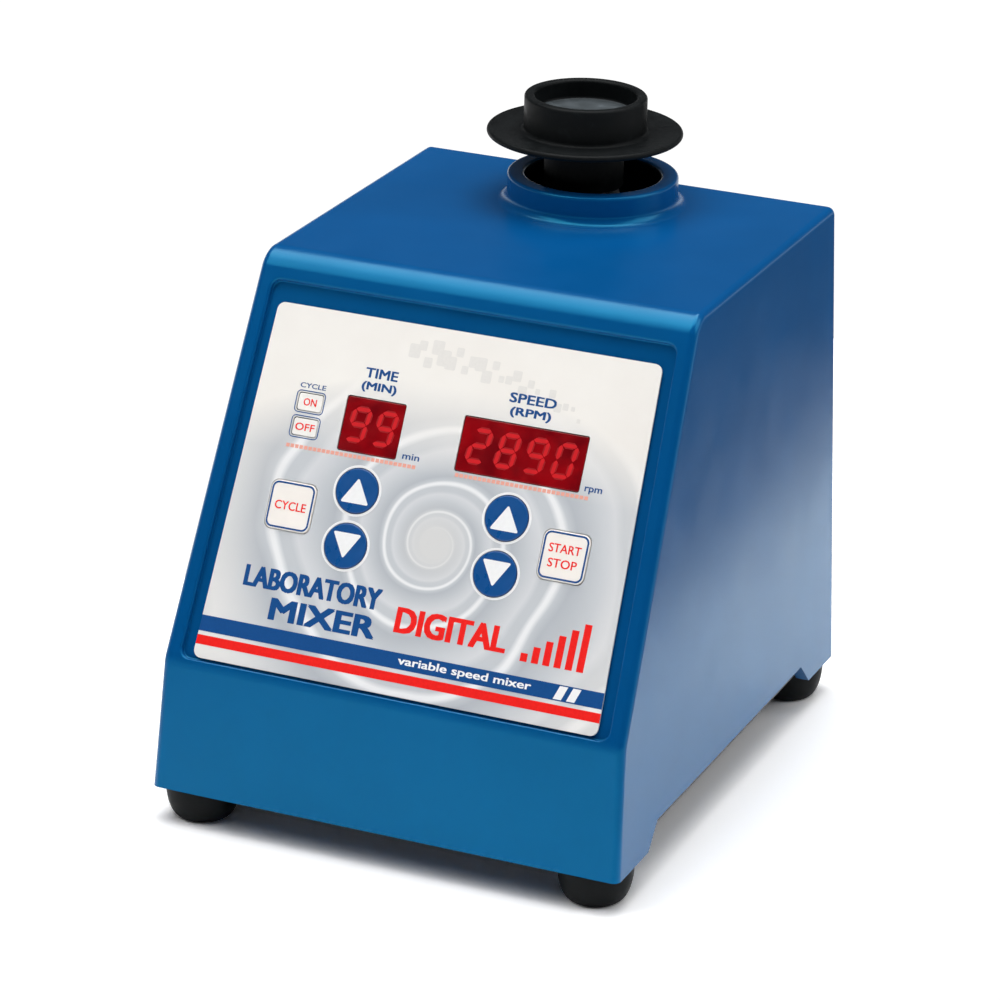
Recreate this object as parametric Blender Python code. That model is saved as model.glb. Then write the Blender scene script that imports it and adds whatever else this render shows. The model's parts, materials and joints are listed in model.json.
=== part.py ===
"""Bench-top vortex mixer with a digital control panel.

A wedge-shaped cast housing stands on four rubber feet.  A motor hangs inside it under the top.
Its shaft turns an eccentric hub, which carries the head round a small circle.  Two posts of the
housing pass through wide holes in the head's restraint plate, so the head orbits without turning.
A rubber cup is pushed on the head.

Frame: metres, +Z up, origin on the floor at the centre of the footprint, the panel faces -Y.
"""

import math

import bmesh
import bpy

# Housing ---------------------------------------------------------------------------------------
HOUSING_BOTTOM = 0.009          # height of the housing's lower edge, which is the feet's height
HOUSING_TOP = 0.1341
BREAK_HEIGHT = 0.0424           # where the upright lower front meets the slanted face
BOTTOM_WIDTH = 0.124
TOP_WIDTH = 0.1146
BOTTOM_DEPTH = 0.153
TOP_DEPTH = 0.09775
LEAN = 0.0036                   # how far the lower front and the whole back lean inwards
WALL = 0.0035
PANEL_WALL = 0.0045             # the slanted wall is thicker, because the pocket is sunk in it
TOP_FRONT_RADIUS = 0.007
EDGE_OFFSET = 0.002
NOTCH_TOP = 0.0152              # both side walls are cut away below this height
NOTCH_HALF = 0.0508             # half the length of that cut at its top; its ends slope at 45 degrees
GAP = 0.0003                    # clearance between mating pieces

# Panel, in the plane of the slanted face: x across, s up the slope from the break ------------------
POCKET_DEPTH = 0.0016
POCKET_BOTTOM = 0.001
POCKET_TOP = 0.0964
POCKET_FLANGE = 0.0043
OVERLAY_BOTTOM = 0.0017
OVERLAY_HEIGHT = 0.0895
OVERLAY_BOTTOM_WIDTH = 0.1067
OVERLAY_TOP_WIDTH = 0.101
OVERLAY_THICKNESS = 0.0005
OVERLAY_FACE = -0.0008          # height of the overlay's face against the slanted face
DISPLAY_S = 0.0646
DISPLAY_HEIGHT = 0.0134
TIME_DISPLAY_X = -0.0195
TIME_DISPLAY_WIDTH = 0.0154
SPEED_DISPLAY_X = 0.020
SPEED_DISPLAY_WIDTH = 0.0322
COLUMN_X = 0.0197               # the round keys stand in two columns
KEY_UP_S = 0.0487
KEY_DOWN_S = 0.0351
SQUARE_KEY_X = 0.036
SQUARE_KEY_S = 0.0421
ROUND_KEY_RADIUS = 0.0055
SQUARE_KEY_SIZE = 0.012
KEY_FACE = -0.00045
KEY_CLEARANCE = 0.0002
KEY_FLANGE = (-0.0024, -0.00165)  # back and front of the flange that holds a key behind the wall
KEY_STEM_END = -0.005
SWITCH_SIZE = 0.006
SWITCH_TOP = -0.0064
PLUNGER_TOP = -0.0058
LIGHT_GUIDE_X = -0.0368
LIGHT_GUIDE_S = (0.0679, 0.0617)
LIGHT_GUIDE_SIZE = (0.0064, 0.0042)
BOARD_FACE = -0.009             # front of the display board
BOARD_THICKNESS = 0.0016
BOARD_SCREW_X = 0.042
BOARD_SCREW_S = 0.052

# Base and feet -----------------------------------------------------------------------------------
BASE_PLATE_BOTTOM = 0.0093
BASE_PLATE_TOP = 0.0113
FOOT_INSET = 0.0095
FOOT_TOP_RADIUS = 0.0093
FOOT_CONTACT_RADIUS = 0.006
CORNER_POST_RADIUS = 0.0066
CORNER_POST_TOP = 0.0336

# Drive -------------------------------------------------------------------------------------------
AXIS_Y = 0.048                  # the motor's upright axis is at x = 0, y = AXIS_Y
ECCENTRICITY = 0.0032
REST_ANGLE = math.radians(160)  # direction of the eccentric at rest, from +X
COLLAR_TOP = 0.1416
COLLAR_RADIUS = 0.02185
COLLAR_BORE = 0.0174
COLLAR_FILLET = 0.0024
MOUNT_POSTS = ((-0.030, 0.048), (0.030, 0.048), (0.0, 0.020))
MOUNT_POST_RADIUS = 0.004
MOUNT_POST_BOTTOM = 0.109
MOUNT_PLATE = (0.101, 0.103)    # bottom and top of the motor mount plate
MOTOR_RADIUS = 0.019
MOTOR_BOTTOM = 0.044
MOTOR_SPLIT = 0.094             # the can ends here and the end bell stands on it
MOTOR_TOP = 0.1007
MOTOR_BORE = 0.0034             # hole for the shaft in the can and the bell
SHAFT_RADIUS = 0.0025
SHAFT_ENDS = (0.026, 0.112)
ARMATURE = (0.056, 0.088)
FAN = (0.028, 0.034)
HUB = (0.1045, 0.1185)
HUB_RADIUS = 0.008
WEIGHT = (0.1055, 0.1165)
PIN_RADIUS = 0.0027
PIN_TOP = 0.131
BEARING_RADIUS = 0.0065
BEARING_HEIGHT = 0.0043
LOWER_BEARING = 0.046
UPPER_BEARING = 0.0946
HEAD_BEARING = (0.1199, 0.130)

# Head and cup ------------------------------------------------------------------------------------
CUP_RIM = 0.1615
CUP_FLOOR = 0.1564
CUP_OUTER_RADIUS = 0.01565
CUP_INNER_RADIUS = 0.013
FLANGE_RADIUS = 0.025
FLANGE_RISE = 0.0010               # the flange turns up by this much towards its edge
FLANGE_EDGE = 0.0016
FLANGE_TOP = 0.1520
FLANGE_BOTTOM = 0.1498
STEM_RADIUS = 0.0102
STEM_BOTTOM = 0.138
HEAD_POST_RADIUS = 0.0064
HEAD_POST_TOP = 0.150
RESTRAINT_PLATE = (0.122, 0.124)
RESTRAINT_HOLE = MOUNT_POST_RADIUS + ECCENTRICITY + 0.0005

# Rear ------------------------------------------------------------------------------------------
REAR_HEIGHT = 0.046             # centre of the inlet and the switch above the floor
INLET_X = 0.033
SWITCH_X = -0.033
REAR_FLANGE = 0.0012
INLET_MOUTH = (0.024, 0.0165)
INLET_CORNER = 0.004            # the mouth's two upper corners are cut off
INLET_DEPTH = 0.015
PIN_SIZE = (0.002, 0.004)
SWITCH_WELL = (0.0106, 0.0167)
PIVOT_DEPTH = 0.003             # the rocker's pivot lies this far below the back face
ROCKER_TILT = math.radians(8)

# Electronics -------------------------------------------------------------------------------------
STANDOFF_TOP = 0.0197
POWER_BOARD = (0.020, 0.0216)
POWER_BOARD_Y = -0.029
TRANSFORMER = (-0.012, -0.030)
RIBBON_X = 0.026
RIBBON_WIDTH = 0.014
RIBBON_THICKNESS = 0.0006
RIBBON_TOP = (-0.0515, 0.0595)  # (y, z) at the display board
RIBBON_FOOT = (-0.0545, 0.0222)
RIBBON_BOW = 0.006

# Worked out from the dimensions above ------------------------------------------------------------
HEIGHT = HOUSING_TOP - HOUSING_BOTTOM
FRONT_Y = -BOTTOM_DEPTH / 2
BACK_Y = BOTTOM_DEPTH / 2
BREAK_Y = FRONT_Y + LEAN
TOP_BACK_Y = BACK_Y - LEAN
TOP_FRONT_Y = TOP_BACK_Y - TOP_DEPTH
SLOPE = math.atan2(HOUSING_TOP - BREAK_HEIGHT, TOP_FRONT_Y - BREAK_Y)
BACK_ANGLE = math.atan2(LEAN, HEIGHT)
CRANK_OFFSET = (ECCENTRICITY * math.cos(REST_ANGLE), ECCENTRICITY * math.sin(REST_ANGLE), 0)
POCKET_FLOOR = -POCKET_DEPTH
OVERLAY_BACK = OVERLAY_FACE - OVERLAY_THICKNESS


def half_width(z):
    """Half the housing's outer width at height z."""
    return (BOTTOM_WIDTH - (BOTTOM_WIDTH - TOP_WIDTH) * (z - HOUSING_BOTTOM) / HEIGHT) / 2


def back_y(z):
    """Outer back face at height z."""
    return BACK_Y - LEAN * (z - HOUSING_BOTTOM) / HEIGHT


# Outlines: closed lists of (x, y), anticlockwise ---------------------------------------------------
def rectangle(width, height, x=0.0, y=0.0):
    """Four corners of a rectangle centred on (x, y)."""
    signs = ((-1, -1), (1, -1), (1, 1), (-1, 1))
    return [(x + sx * width / 2, y + sy * height / 2) for sx, sy in signs]


def circle(radius, steps, x=0.0, y=0.0):
    """Points round a circle."""
    turns = [2 * math.pi * i / steps for i in range(steps)]
    return [(x + radius * math.cos(a), y + radius * math.sin(a)) for a in turns]


def rounded(corners, radius, steps=3):
    """A convex outline with each corner turned into an arc."""
    points = []
    for i, (x, y) in enumerate(corners):
        px, py = corners[i - 1]
        nx, ny = corners[(i + 1) % len(corners)]
        start = math.atan2(y - py, x - px)
        turn = (math.atan2(ny - y, nx - x) - start) % (2 * math.pi)
        reach = radius * math.tan(turn / 2)
        centre_x = x - reach * math.cos(start) - radius * math.sin(start)
        centre_y = y - reach * math.sin(start) + radius * math.cos(start)
        for k in range(steps + 1):
            angle = start - math.pi / 2 + turn * k / steps
            points.append((centre_x + radius * math.cos(angle), centre_y + radius * math.sin(angle)))
    return points


def inset(corners, distances):
    """A convex outline whose sides move inwards, each by its own distance."""
    lines = []
    for i, (x, y) in enumerate(corners):
        nx, ny = corners[(i + 1) % len(corners)]
        length = math.hypot(nx - x, ny - y)
        dx, dy = (nx - x) / length, (ny - y) / length
        lines.append((x - dy * distances[i], y + dx * distances[i], dx, dy))
    points = []
    for i, (x, y, dx, dy) in enumerate(lines):
        px, py, pdx, pdy = lines[i - 1]
        along = ((x - px) * dy - (y - py) * dx) / (pdx * dy - pdy * dx)
        points.append((px + pdx * along, py + pdy * along))
    return points


def arc(centre_r, centre_z, radius, start, end, steps):
    """Points of an arc in a turned profile, angles in degrees from the +r direction."""
    angles = [math.radians(start + (end - start) * i / steps) for i in range(steps + 1)]
    return [(centre_r + radius * math.cos(a), centre_z + radius * math.sin(a)) for a in angles]


# Meshes and objects --------------------------------------------------------------------------------
def add_object(name, bm, look=None, parent=None, location=(0, 0, 0)):
    """Turn a bmesh into an object with outward faces and smooth round surfaces."""
    bmesh.ops.recalc_face_normals(bm, faces=bm.faces)
    mesh = bpy.data.meshes.new(name)
    bm.to_mesh(mesh)
    bm.free()
    mesh.shade_smooth()
    mesh.set_sharp_from_angle(angle=math.radians(35))
    obj = bpy.data.objects.new(name, mesh)
    bpy.context.collection.objects.link(obj)
    obj.location = location
    obj.parent = parent
    if look:
        mesh.materials.append(look)
    return obj


def plate_mesh(outline, bottom, top, holes=(), bm=None):
    """A flat plate with straight edges between two heights."""
    bm = bm or bmesh.new()
    edges = []
    for loop in (outline, *holes):
        verts = [bm.verts.new((x, y, bottom)) for x, y in loop]
        edges += [bm.edges.new(pair) for pair in zip(verts, verts[1:] + verts[:1])]
    filled = bmesh.ops.triangle_fill(bm, edges=edges, use_beauty=True)["geom"]
    faces = [item for item in filled if isinstance(item, bmesh.types.BMFace)]
    raised = bmesh.ops.extrude_face_region(bm, geom=faces, use_keep_orig=True)["geom"]
    moved = [item for item in raised if isinstance(item, bmesh.types.BMVert)]
    bmesh.ops.translate(bm, verts=moved, vec=(0, 0, top - bottom))
    return bm


def turned_mesh(profile, segments=24, bm=None, x=0.0, y=0.0):
    """A solid of revolution about an upright axis, from an outline of (radius, height)."""
    bm = bm or bmesh.new()
    verts = [bm.verts.new((x + r, y, z)) for r, z in profile]
    pairs = list(zip(verts, verts[1:]))
    if profile[0][0] > 0 or profile[-1][0] > 0:
        pairs.append((verts[-1], verts[0]))
    edges = [bm.edges.new(pair) for pair in pairs]
    bmesh.ops.spin(bm, geom=verts + edges, cent=(x, y, 0), axis=(0, 0, 1),
                   angle=2 * math.pi, steps=segments, use_merge=True)
    bmesh.ops.remove_doubles(bm, verts=bm.verts, dist=1e-7)
    return bm


def rod(radius, bottom, top):
    """Profile of a plain round bar."""
    return [(0, bottom), (radius, bottom), (radius, top), (0, top)]


def ring(inner, outer, bottom, top):
    """Profile of a plain tube or washer."""
    return [(inner, bottom), (outer, bottom), (outer, top), (inner, top)]


def screw_profile(head_radius, head_height, shank_radius, length, bottom=0.0):
    """Profile of a pan-head screw standing on its head."""
    shoulder = bottom + head_height
    crown = head_radius * 0.75
    return [(0, bottom), (crown, bottom), (head_radius, bottom + head_height * 0.4),
            (head_radius, shoulder), (shank_radius, shoulder), (shank_radius, shoulder + length),
            (0, shoulder + length)]


def combine(target, other, operation="DIFFERENCE"):
    """Cut a helper object from the target, or join it on."""
    modifier = target.modifiers.new(other.name, "BOOLEAN")
    modifier.operation = operation
    modifier.solver = "EXACT"
    modifier.object = other
    other.hide_render = True
    other.display_type = "WIRE"


def frame_empty(name, location, rotation=(0, 0, 0), parent=None):
    """An empty that carries a group of pieces."""
    empty = bpy.data.objects.new(name, None)
    empty.empty_display_size = 0.01
    empty.location = location
    empty.rotation_euler = rotation
    empty.parent = parent
    bpy.context.collection.objects.link(empty)
    return empty


def material(name, colour, roughness, metallic=0.0):
    """A Principled material."""
    look = bpy.data.materials.new(name)
    look.use_nodes = True
    shader = look.node_tree.nodes["Principled BSDF"]
    shader.inputs["Base Color"].default_value = (*colour, 1)
    shader.inputs["Roughness"].default_value = roughness
    shader.inputs["Metallic"].default_value = metallic
    look.diffuse_color = (*colour, 1)
    return look


def make_materials():
    """Every material of the mixer, by name."""
    looks = {
        "blue_paint": ((0.0, 0.13, 0.42), 0.38, 0.0),
        "rubber": ((0.012, 0.013, 0.014), 0.6, 0.0),
        "overlay_film": ((0.88, 0.87, 0.84), 0.35, 0.0),
        "red_filter": ((0.30, 0.0, 0.0), 0.2, 0.0),
        "blue_key": ((0.0, 0.07, 0.25), 0.35, 0.0),
        "white_key": ((0.86, 0.84, 0.79), 0.35, 0.0),
        "light_guide": ((0.85, 0.85, 0.85), 0.25, 0.0),
        "circuit_board": ((0.02, 0.16, 0.06), 0.5, 0.0),
        "display_module": ((0.08, 0.08, 0.085), 0.5, 0.0),
        "black_plastic": ((0.02, 0.02, 0.022), 0.45, 0.0),
        "black_steel": ((0.02, 0.02, 0.022), 0.4, 0.0),
        "plated_steel": ((0.62, 0.62, 0.60), 0.35, 1.0),
        "bright_steel": ((0.70, 0.70, 0.71), 0.2, 1.0),
        "aluminium": ((0.76, 0.77, 0.78), 0.35, 1.0),
        "brass": ((0.80, 0.65, 0.30), 0.3, 1.0),
        "copper": ((0.72, 0.38, 0.20), 0.4, 1.0),
        "grey_cable": ((0.55, 0.55, 0.57), 0.6, 0.0),
    }
    return {name: material(name, *values) for name, values in looks.items()}


# Housing -------------------------------------------------------------------------------------------
SIDE_PROFILE = [(FRONT_Y, HOUSING_BOTTOM), (BACK_Y, HOUSING_BOTTOM), (TOP_BACK_Y, HOUSING_TOP),
                (TOP_FRONT_Y, HOUSING_TOP), (BREAK_Y, BREAK_HEIGHT)]


def tapered_block(profile, side_wall):
    """A block with the given side profile of (y, z), narrowing towards the top."""
    bm = bmesh.new()
    left = [bm.verts.new((side_wall - half_width(z), y, z)) for y, z in profile]
    right = [bm.verts.new((half_width(z) - side_wall, y, z)) for y, z in profile]
    bm.faces.new(left)
    bm.faces.new(reversed(right))
    for i in range(len(profile)):
        bm.faces.new((left[i - 1], left[i], right[i], right[i - 1]))
    bmesh.ops.recalc_face_normals(bm, faces=bm.faces)
    return bm


def round_edges(bm):
    """Round the top front edge widely, then every other edge above the open bottom."""
    edges = [e for e in bm.edges if all(abs(v.co.z - HOUSING_TOP) < 1e-6 for v in e.verts)
             and all(abs(v.co.y - TOP_FRONT_Y) < 1e-6 for v in e.verts)]
    reach = TOP_FRONT_RADIUS * math.tan(SLOPE / 2)
    bmesh.ops.bevel(bm, geom=edges, offset=reach, segments=5, profile=0.5, affect="EDGES")
    edges = []
    for edge in bm.edges:
        above = max(v.co.z for v in edge.verts) > HOUSING_BOTTOM + 1e-4
        side = any(abs(face.normal.x) > 0.9 for face in edge.link_faces)
        sharp = edge.calc_face_angle(0) > math.radians(20)
        if above and (side or sharp):
            edges.append(edge)
    bmesh.ops.bevel(bm, geom=edges, offset=EDGE_OFFSET, segments=2, profile=0.5, affect="EDGES")


def build_housing(looks, panel, rear):
    """The cast shell with its collar, posts, pocket and openings."""
    bm = tapered_block(SIDE_PROFILE, 0.0)
    round_edges(bm)
    housing = add_object("housing_shell", bm, looks["blue_paint"])

    open_bottom = -WALL
    cavity_profile = inset(SIDE_PROFILE, (open_bottom, WALL, WALL, PANEL_WALL, WALL))
    combine(housing, add_object("cutter_cavity", tapered_block(cavity_profile, WALL)))

    collar = [(0, HOUSING_TOP - 0.001), (COLLAR_RADIUS + COLLAR_FILLET, HOUSING_TOP - 0.001)]
    collar += arc(COLLAR_RADIUS + COLLAR_FILLET, HOUSING_TOP + COLLAR_FILLET, COLLAR_FILLET, 270, 180, 4)
    collar += arc(COLLAR_RADIUS - 0.0008, COLLAR_TOP - 0.0008, 0.0008, 0, 90, 2)
    collar += [(0, COLLAR_TOP)]
    combine(housing, add_object("joined_collar", turned_mesh(collar, 40), location=(0, AXIS_Y, 0)), "UNION")
    bore = [(0, 0.125), (COLLAR_BORE, 0.125), (COLLAR_BORE, COLLAR_TOP - 0.0008),
            (COLLAR_BORE + 0.0016, COLLAR_TOP + 0.0008), (0, COLLAR_TOP + 0.0008)]
    combine(housing, add_object("cutter_collar_bore", turned_mesh(bore, 40), location=(0, AXIS_Y, 0)))

    combine(housing, add_object("cutter_side_notches", side_notches()))

    top_inside = HOUSING_TOP - WALL / 2
    for number, (x, y) in enumerate(MOUNT_POSTS):
        post = turned_mesh(rod(MOUNT_POST_RADIUS, MOUNT_POST_BOTTOM, top_inside), 16)
        combine(housing, add_object(f"joined_mount_post_{number}", post, location=(x, y, 0)), "UNION")
    for number, (x, y) in enumerate(foot_places()):
        post = turned_mesh(rod(CORNER_POST_RADIUS, BASE_PLATE_TOP + GAP, CORNER_POST_TOP), 16)
        combine(housing, add_object(f"joined_corner_post_{number}", post, location=(x, y, 0)), "UNION")
    for number, x in enumerate((-BOARD_SCREW_X, BOARD_SCREW_X)):
        post = turned_mesh(rod(0.0026, BOARD_FACE + GAP, -PANEL_WALL + 0.001), 12)
        location = (x, BOARD_SCREW_S, 0)
        combine(housing, add_object(f"joined_board_post_{number}", post, None, panel, location), "UNION")

    screw_holes = bmesh.new()
    for x, y in MOUNT_POSTS:
        turned_mesh(rod(0.002, MOUNT_POST_BOTTOM - 0.001, 0.121), 12, screw_holes, x, y)
    for x, y in foot_places():
        turned_mesh(rod(0.002, BASE_PLATE_TOP - 0.001, 0.029), 12, screw_holes, x, y)
    combine(housing, add_object("cutter_screw_holes", screw_holes))

    board_holes = bmesh.new()
    for x in (-BOARD_SCREW_X, BOARD_SCREW_X):
        turned_mesh(rod(0.0015, BOARD_FACE - 0.001, -0.0049), 10, board_holes, x, BOARD_SCREW_S)
    combine(housing, add_object("cutter_board_holes", board_holes, None, panel))

    combine(housing, add_object("cutter_pocket", pocket_mesh(), None, panel))
    combine(housing, add_object("cutter_panel_openings", panel_opening_mesh(), None, panel))
    rear_cut = plate_mesh(rectangle(0.0276, 0.0204, -INLET_X), -0.01, 0.002)
    plate_mesh(rectangle(0.0133, 0.0196, -SWITCH_X), -0.01, 0.002, bm=rear_cut)
    combine(housing, add_object("cutter_rear_openings", rear_cut, None, rear))


def side_notches():
    """What is cut from the lower edges of both side walls, between the feet."""
    bottom = HOUSING_BOTTOM - 0.001
    foot = NOTCH_HALF + NOTCH_TOP - bottom
    corners = [(-foot, bottom), (foot, bottom), (NOTCH_HALF, NOTCH_TOP), (-NOTCH_HALF, NOTCH_TOP)]
    outer = BOTTOM_WIDTH / 2 + 0.002
    inner = BOTTOM_WIDTH / 2 - WALL - 0.002
    bm = bmesh.new()
    for side in (-1, 1):
        near = [bm.verts.new((side * inner, y, z)) for y, z in corners]
        far = [bm.verts.new((side * outer, y, z)) for y, z in corners]
        bm.faces.new(near)
        bm.faces.new(reversed(far))
        for i in range(len(corners)):
            bm.faces.new((near[i - 1], near[i], far[i], far[i - 1]))
    bmesh.ops.recalc_face_normals(bm, faces=bm.faces)
    return bm


def pocket_mesh():
    """The shallow pocket that the overlay lies in."""
    corners = []
    for s, side in ((POCKET_BOTTOM, -1), (POCKET_BOTTOM, 1), (POCKET_TOP, 1), (POCKET_TOP, -1)):
        z = BREAK_HEIGHT + s * math.sin(SLOPE)
        corners.append((side * (half_width(z) - POCKET_FLANGE), s))
    return plate_mesh(rounded(corners, 0.0025), POCKET_FLOOR, 0.004)


def overlay_outline():
    """The overlay narrows towards the top, as the slanted face does."""
    top = OVERLAY_BOTTOM + OVERLAY_HEIGHT
    bottom_half, top_half = OVERLAY_BOTTOM_WIDTH / 2, OVERLAY_TOP_WIDTH / 2
    corners = [(-bottom_half, OVERLAY_BOTTOM), (bottom_half, OVERLAY_BOTTOM),
               (top_half, top), (-top_half, top)]
    return rounded(corners, 0.002)


def key_outlines(grow):
    """Outlines of the six keys, grown by a clearance."""
    outlines = []
    for x in (-COLUMN_X, COLUMN_X):
        for s in (KEY_UP_S, KEY_DOWN_S):
            outlines.append(circle(ROUND_KEY_RADIUS + grow, 24, x, s))
    for x in (-SQUARE_KEY_X, SQUARE_KEY_X):
        size = SQUARE_KEY_SIZE + 2 * grow
        outlines.append(rounded(rectangle(size, size, x, SQUARE_KEY_S), 0.002))
    return outlines


def window_outlines(grow):
    """Outlines of the two display windows and the two light guides, grown by a clearance."""
    places = [(TIME_DISPLAY_X, DISPLAY_S, TIME_DISPLAY_WIDTH, DISPLAY_HEIGHT),
              (SPEED_DISPLAY_X, DISPLAY_S, SPEED_DISPLAY_WIDTH, DISPLAY_HEIGHT)]
    places += [(LIGHT_GUIDE_X, s, *LIGHT_GUIDE_SIZE) for s in LIGHT_GUIDE_S]
    return [rounded(rectangle(width + 2 * grow, height + 2 * grow, x, s), 0.0006, 2)
            for x, s, width, height in places]


def panel_opening_mesh():
    """Cutters for the windows and keys, through the slanted wall."""
    bm = bmesh.new()
    for outline in window_outlines(GAP) + key_outlines(0.0009):
        plate_mesh(outline, -0.007, 0.001, bm=bm)
    return bm


# Base ----------------------------------------------------------------------------------------------
def foot_places():
    """Centres of the four feet, front left first."""
    x, y = BOTTOM_WIDTH / 2 - FOOT_INSET, BOTTOM_DEPTH / 2 - FOOT_INSET
    return [(-x, -y), (x, -y), (-x, y), (x, y)]


def build_base(looks):
    """The base plate, with vents under the fan and standoffs for the power board."""
    width = BOTTOM_WIDTH - 2 * WALL - 0.0012
    depth = BOTTOM_DEPTH - 2 * WALL - 0.0016
    holes = [circle(0.0022, 12, x, y) for x, y in foot_places()]
    for number in range(-3, 4):
        holes.append(rounded(rectangle(0.0025, 0.026, number * 0.0055, AXIS_Y - 0.006), 0.0012, 2))
    outline = rounded(rectangle(width, depth), 0.0015, 2)
    bm = plate_mesh(outline, BASE_PLATE_BOTTOM, BASE_PLATE_TOP, holes)
    base = add_object("base_plate", bm, looks["black_steel"])
    for number, (x, y) in enumerate(board_standoffs()):
        standoff = turned_mesh(rod(0.003, BASE_PLATE_TOP - 0.001, STANDOFF_TOP), 12)
        combine(base, add_object(f"joined_standoff_{number}", standoff, location=(x, y, 0)), "UNION")


def board_standoffs():
    """Where the power board rests on the base plate."""
    return [(x, y) for x in (-0.034, 0.034) for y in (-0.054, -0.004)]


def build_feet(looks):
    """Four domed rubber feet, each held by a screw into the housing's corner post."""
    names = ("front_left", "front_right", "back_left", "back_right")
    top = HOUSING_BOTTOM - GAP
    steps = 5
    turns = [math.pi / 2 * i / steps for i in range(steps + 1)]
    bulge = FOOT_TOP_RADIUS - FOOT_CONTACT_RADIUS
    dome = [(FOOT_CONTACT_RADIUS + bulge * math.sin(a), top * (1 - math.cos(a))) for a in turns]
    profile = [(0.0044, 0)] + dome + [(0.0021, top), (0.0021, 0.0032), (0.0044, 0.0032)]
    for name, (x, y) in zip(names, foot_places()):
        add_object(f"foot_{name}", turned_mesh(profile, 18), looks["rubber"], location=(x, y, 0))
        screw = turned_mesh(screw_profile(0.0038, 0.0022, 0.0017, 0.0245, 0.0007), 12)
        add_object(f"foot_screw_{name}", screw, looks["plated_steel"], location=(x, y, 0))


# Panel ---------------------------------------------------------------------------------------------
def build_panel(looks, panel):
    """The printed overlay, the display windows and the light guides."""
    holes = window_outlines(KEY_CLEARANCE) + key_outlines(KEY_CLEARANCE)
    bm = plate_mesh(overlay_outline(), OVERLAY_BACK, OVERLAY_FACE, holes)
    add_object("panel_overlay", bm, looks["overlay_film"], panel)
    names = ("time_display_window", "speed_display_window",
             "interval_on_light_guide", "interval_off_light_guide")
    backs = (-0.0025, -0.0025, BOARD_FACE + GAP, BOARD_FACE + GAP)
    kinds = ("red_filter", "red_filter", "light_guide", "light_guide")
    for name, outline, back, kind in zip(names, window_outlines(0.0), backs, kinds):
        add_object(name, plate_mesh(outline, back, OVERLAY_FACE - 0.0001), looks[kind], panel)


def build_display_board(looks, panel):
    """The circuit board behind the panel, with its displays, switches and screws."""
    holes = [circle(0.0016, 10, x, BOARD_SCREW_S) for x in (-BOARD_SCREW_X, BOARD_SCREW_X)]
    outline = rounded(rectangle(0.092, 0.050, 0, 0.0495), 0.0015, 2)
    bm = plate_mesh(outline, BOARD_FACE - BOARD_THICKNESS, BOARD_FACE, holes)
    add_object("display_board", bm, looks["circuit_board"], panel)
    displays = (("time_display_module", TIME_DISPLAY_X, TIME_DISPLAY_WIDTH),
                ("speed_display_module", SPEED_DISPLAY_X, SPEED_DISPLAY_WIDTH))
    for name, x, width in displays:
        outline = rectangle(width - 0.0006, DISPLAY_HEIGHT - 0.0006, x, DISPLAY_S)
        add_object(name, plate_mesh(outline, BOARD_FACE + GAP, -0.0028), looks["display_module"], panel)
    for side, x in (("left", -BOARD_SCREW_X), ("right", BOARD_SCREW_X)):
        back = BOARD_FACE - BOARD_THICKNESS - GAP
        screw = turned_mesh(screw_profile(0.0024, 0.0016, 0.0012, 0.0055, back - 0.0016), 10)
        add_object(f"display_board_screw_{side}", screw, looks["plated_steel"], panel, (x, BOARD_SCREW_S, 0))


def build_keys(looks, panel):
    """Six keys with retaining flanges and stems, each over a switch on the display board."""
    keys = (("time_up", -COLUMN_X, KEY_UP_S, "round"), ("time_down", -COLUMN_X, KEY_DOWN_S, "round"),
            ("speed_up", COLUMN_X, KEY_UP_S, "round"), ("speed_down", COLUMN_X, KEY_DOWN_S, "round"),
            ("interval", -SQUARE_KEY_X, SQUARE_KEY_S, "square"),
            ("start_stop", SQUARE_KEY_X, SQUARE_KEY_S, "square"))
    for name, x, s, shape in keys:
        if shape == "round":
            bm = round_key_mesh()
            look = looks["blue_key"]
        else:
            bm = square_key_mesh()
            look = looks["white_key"]
        add_object(f"{name}_key", bm, look, panel, (x, s, 0))
        body = plate_mesh(rectangle(SWITCH_SIZE, SWITCH_SIZE), BOARD_FACE + GAP, SWITCH_TOP)
        switch = add_object(f"{name}_switch", body, looks["black_plastic"], panel, (x, s, 0))
        plunger = turned_mesh(rod(0.0014, SWITCH_TOP - 0.0004, PLUNGER_TOP), 12)
        combine(switch, add_object(f"joined_{name}_plunger", plunger, None, panel, (x, s, 0)), "UNION")


def round_key_mesh():
    """A round cap, its flange behind the overlay and its stem."""
    stem, flange = 0.0016, ROUND_KEY_RADIUS + 0.0006
    back, front = KEY_FLANGE
    profile = [(0, KEY_STEM_END), (stem, KEY_STEM_END), (stem, back), (flange, back), (flange, front),
               (ROUND_KEY_RADIUS, front), (ROUND_KEY_RADIUS, KEY_FACE - 0.00025),
               (ROUND_KEY_RADIUS - 0.00025, KEY_FACE), (0, KEY_FACE)]
    return turned_mesh(profile, 20)


def square_key_mesh():
    """A square cap, its flange and its stem, stacked as sections of one loft."""
    flange = rounded(rectangle(SQUARE_KEY_SIZE + 0.001, SQUARE_KEY_SIZE + 0.001), 0.002)
    cap = rounded(rectangle(SQUARE_KEY_SIZE, SQUARE_KEY_SIZE), 0.002)
    face = rounded(rectangle(SQUARE_KEY_SIZE - 0.0005, SQUARE_KEY_SIZE - 0.0005), 0.00175)
    stem = rounded(rectangle(0.0032, 0.0032), 0.0008)
    back, front = KEY_FLANGE
    sections = [(stem, KEY_STEM_END), (stem, back), (flange, back), (flange, front), (cap, front),
                (cap, KEY_FACE - 0.00025), (face, KEY_FACE)]
    return loft_mesh(sections)


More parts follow.
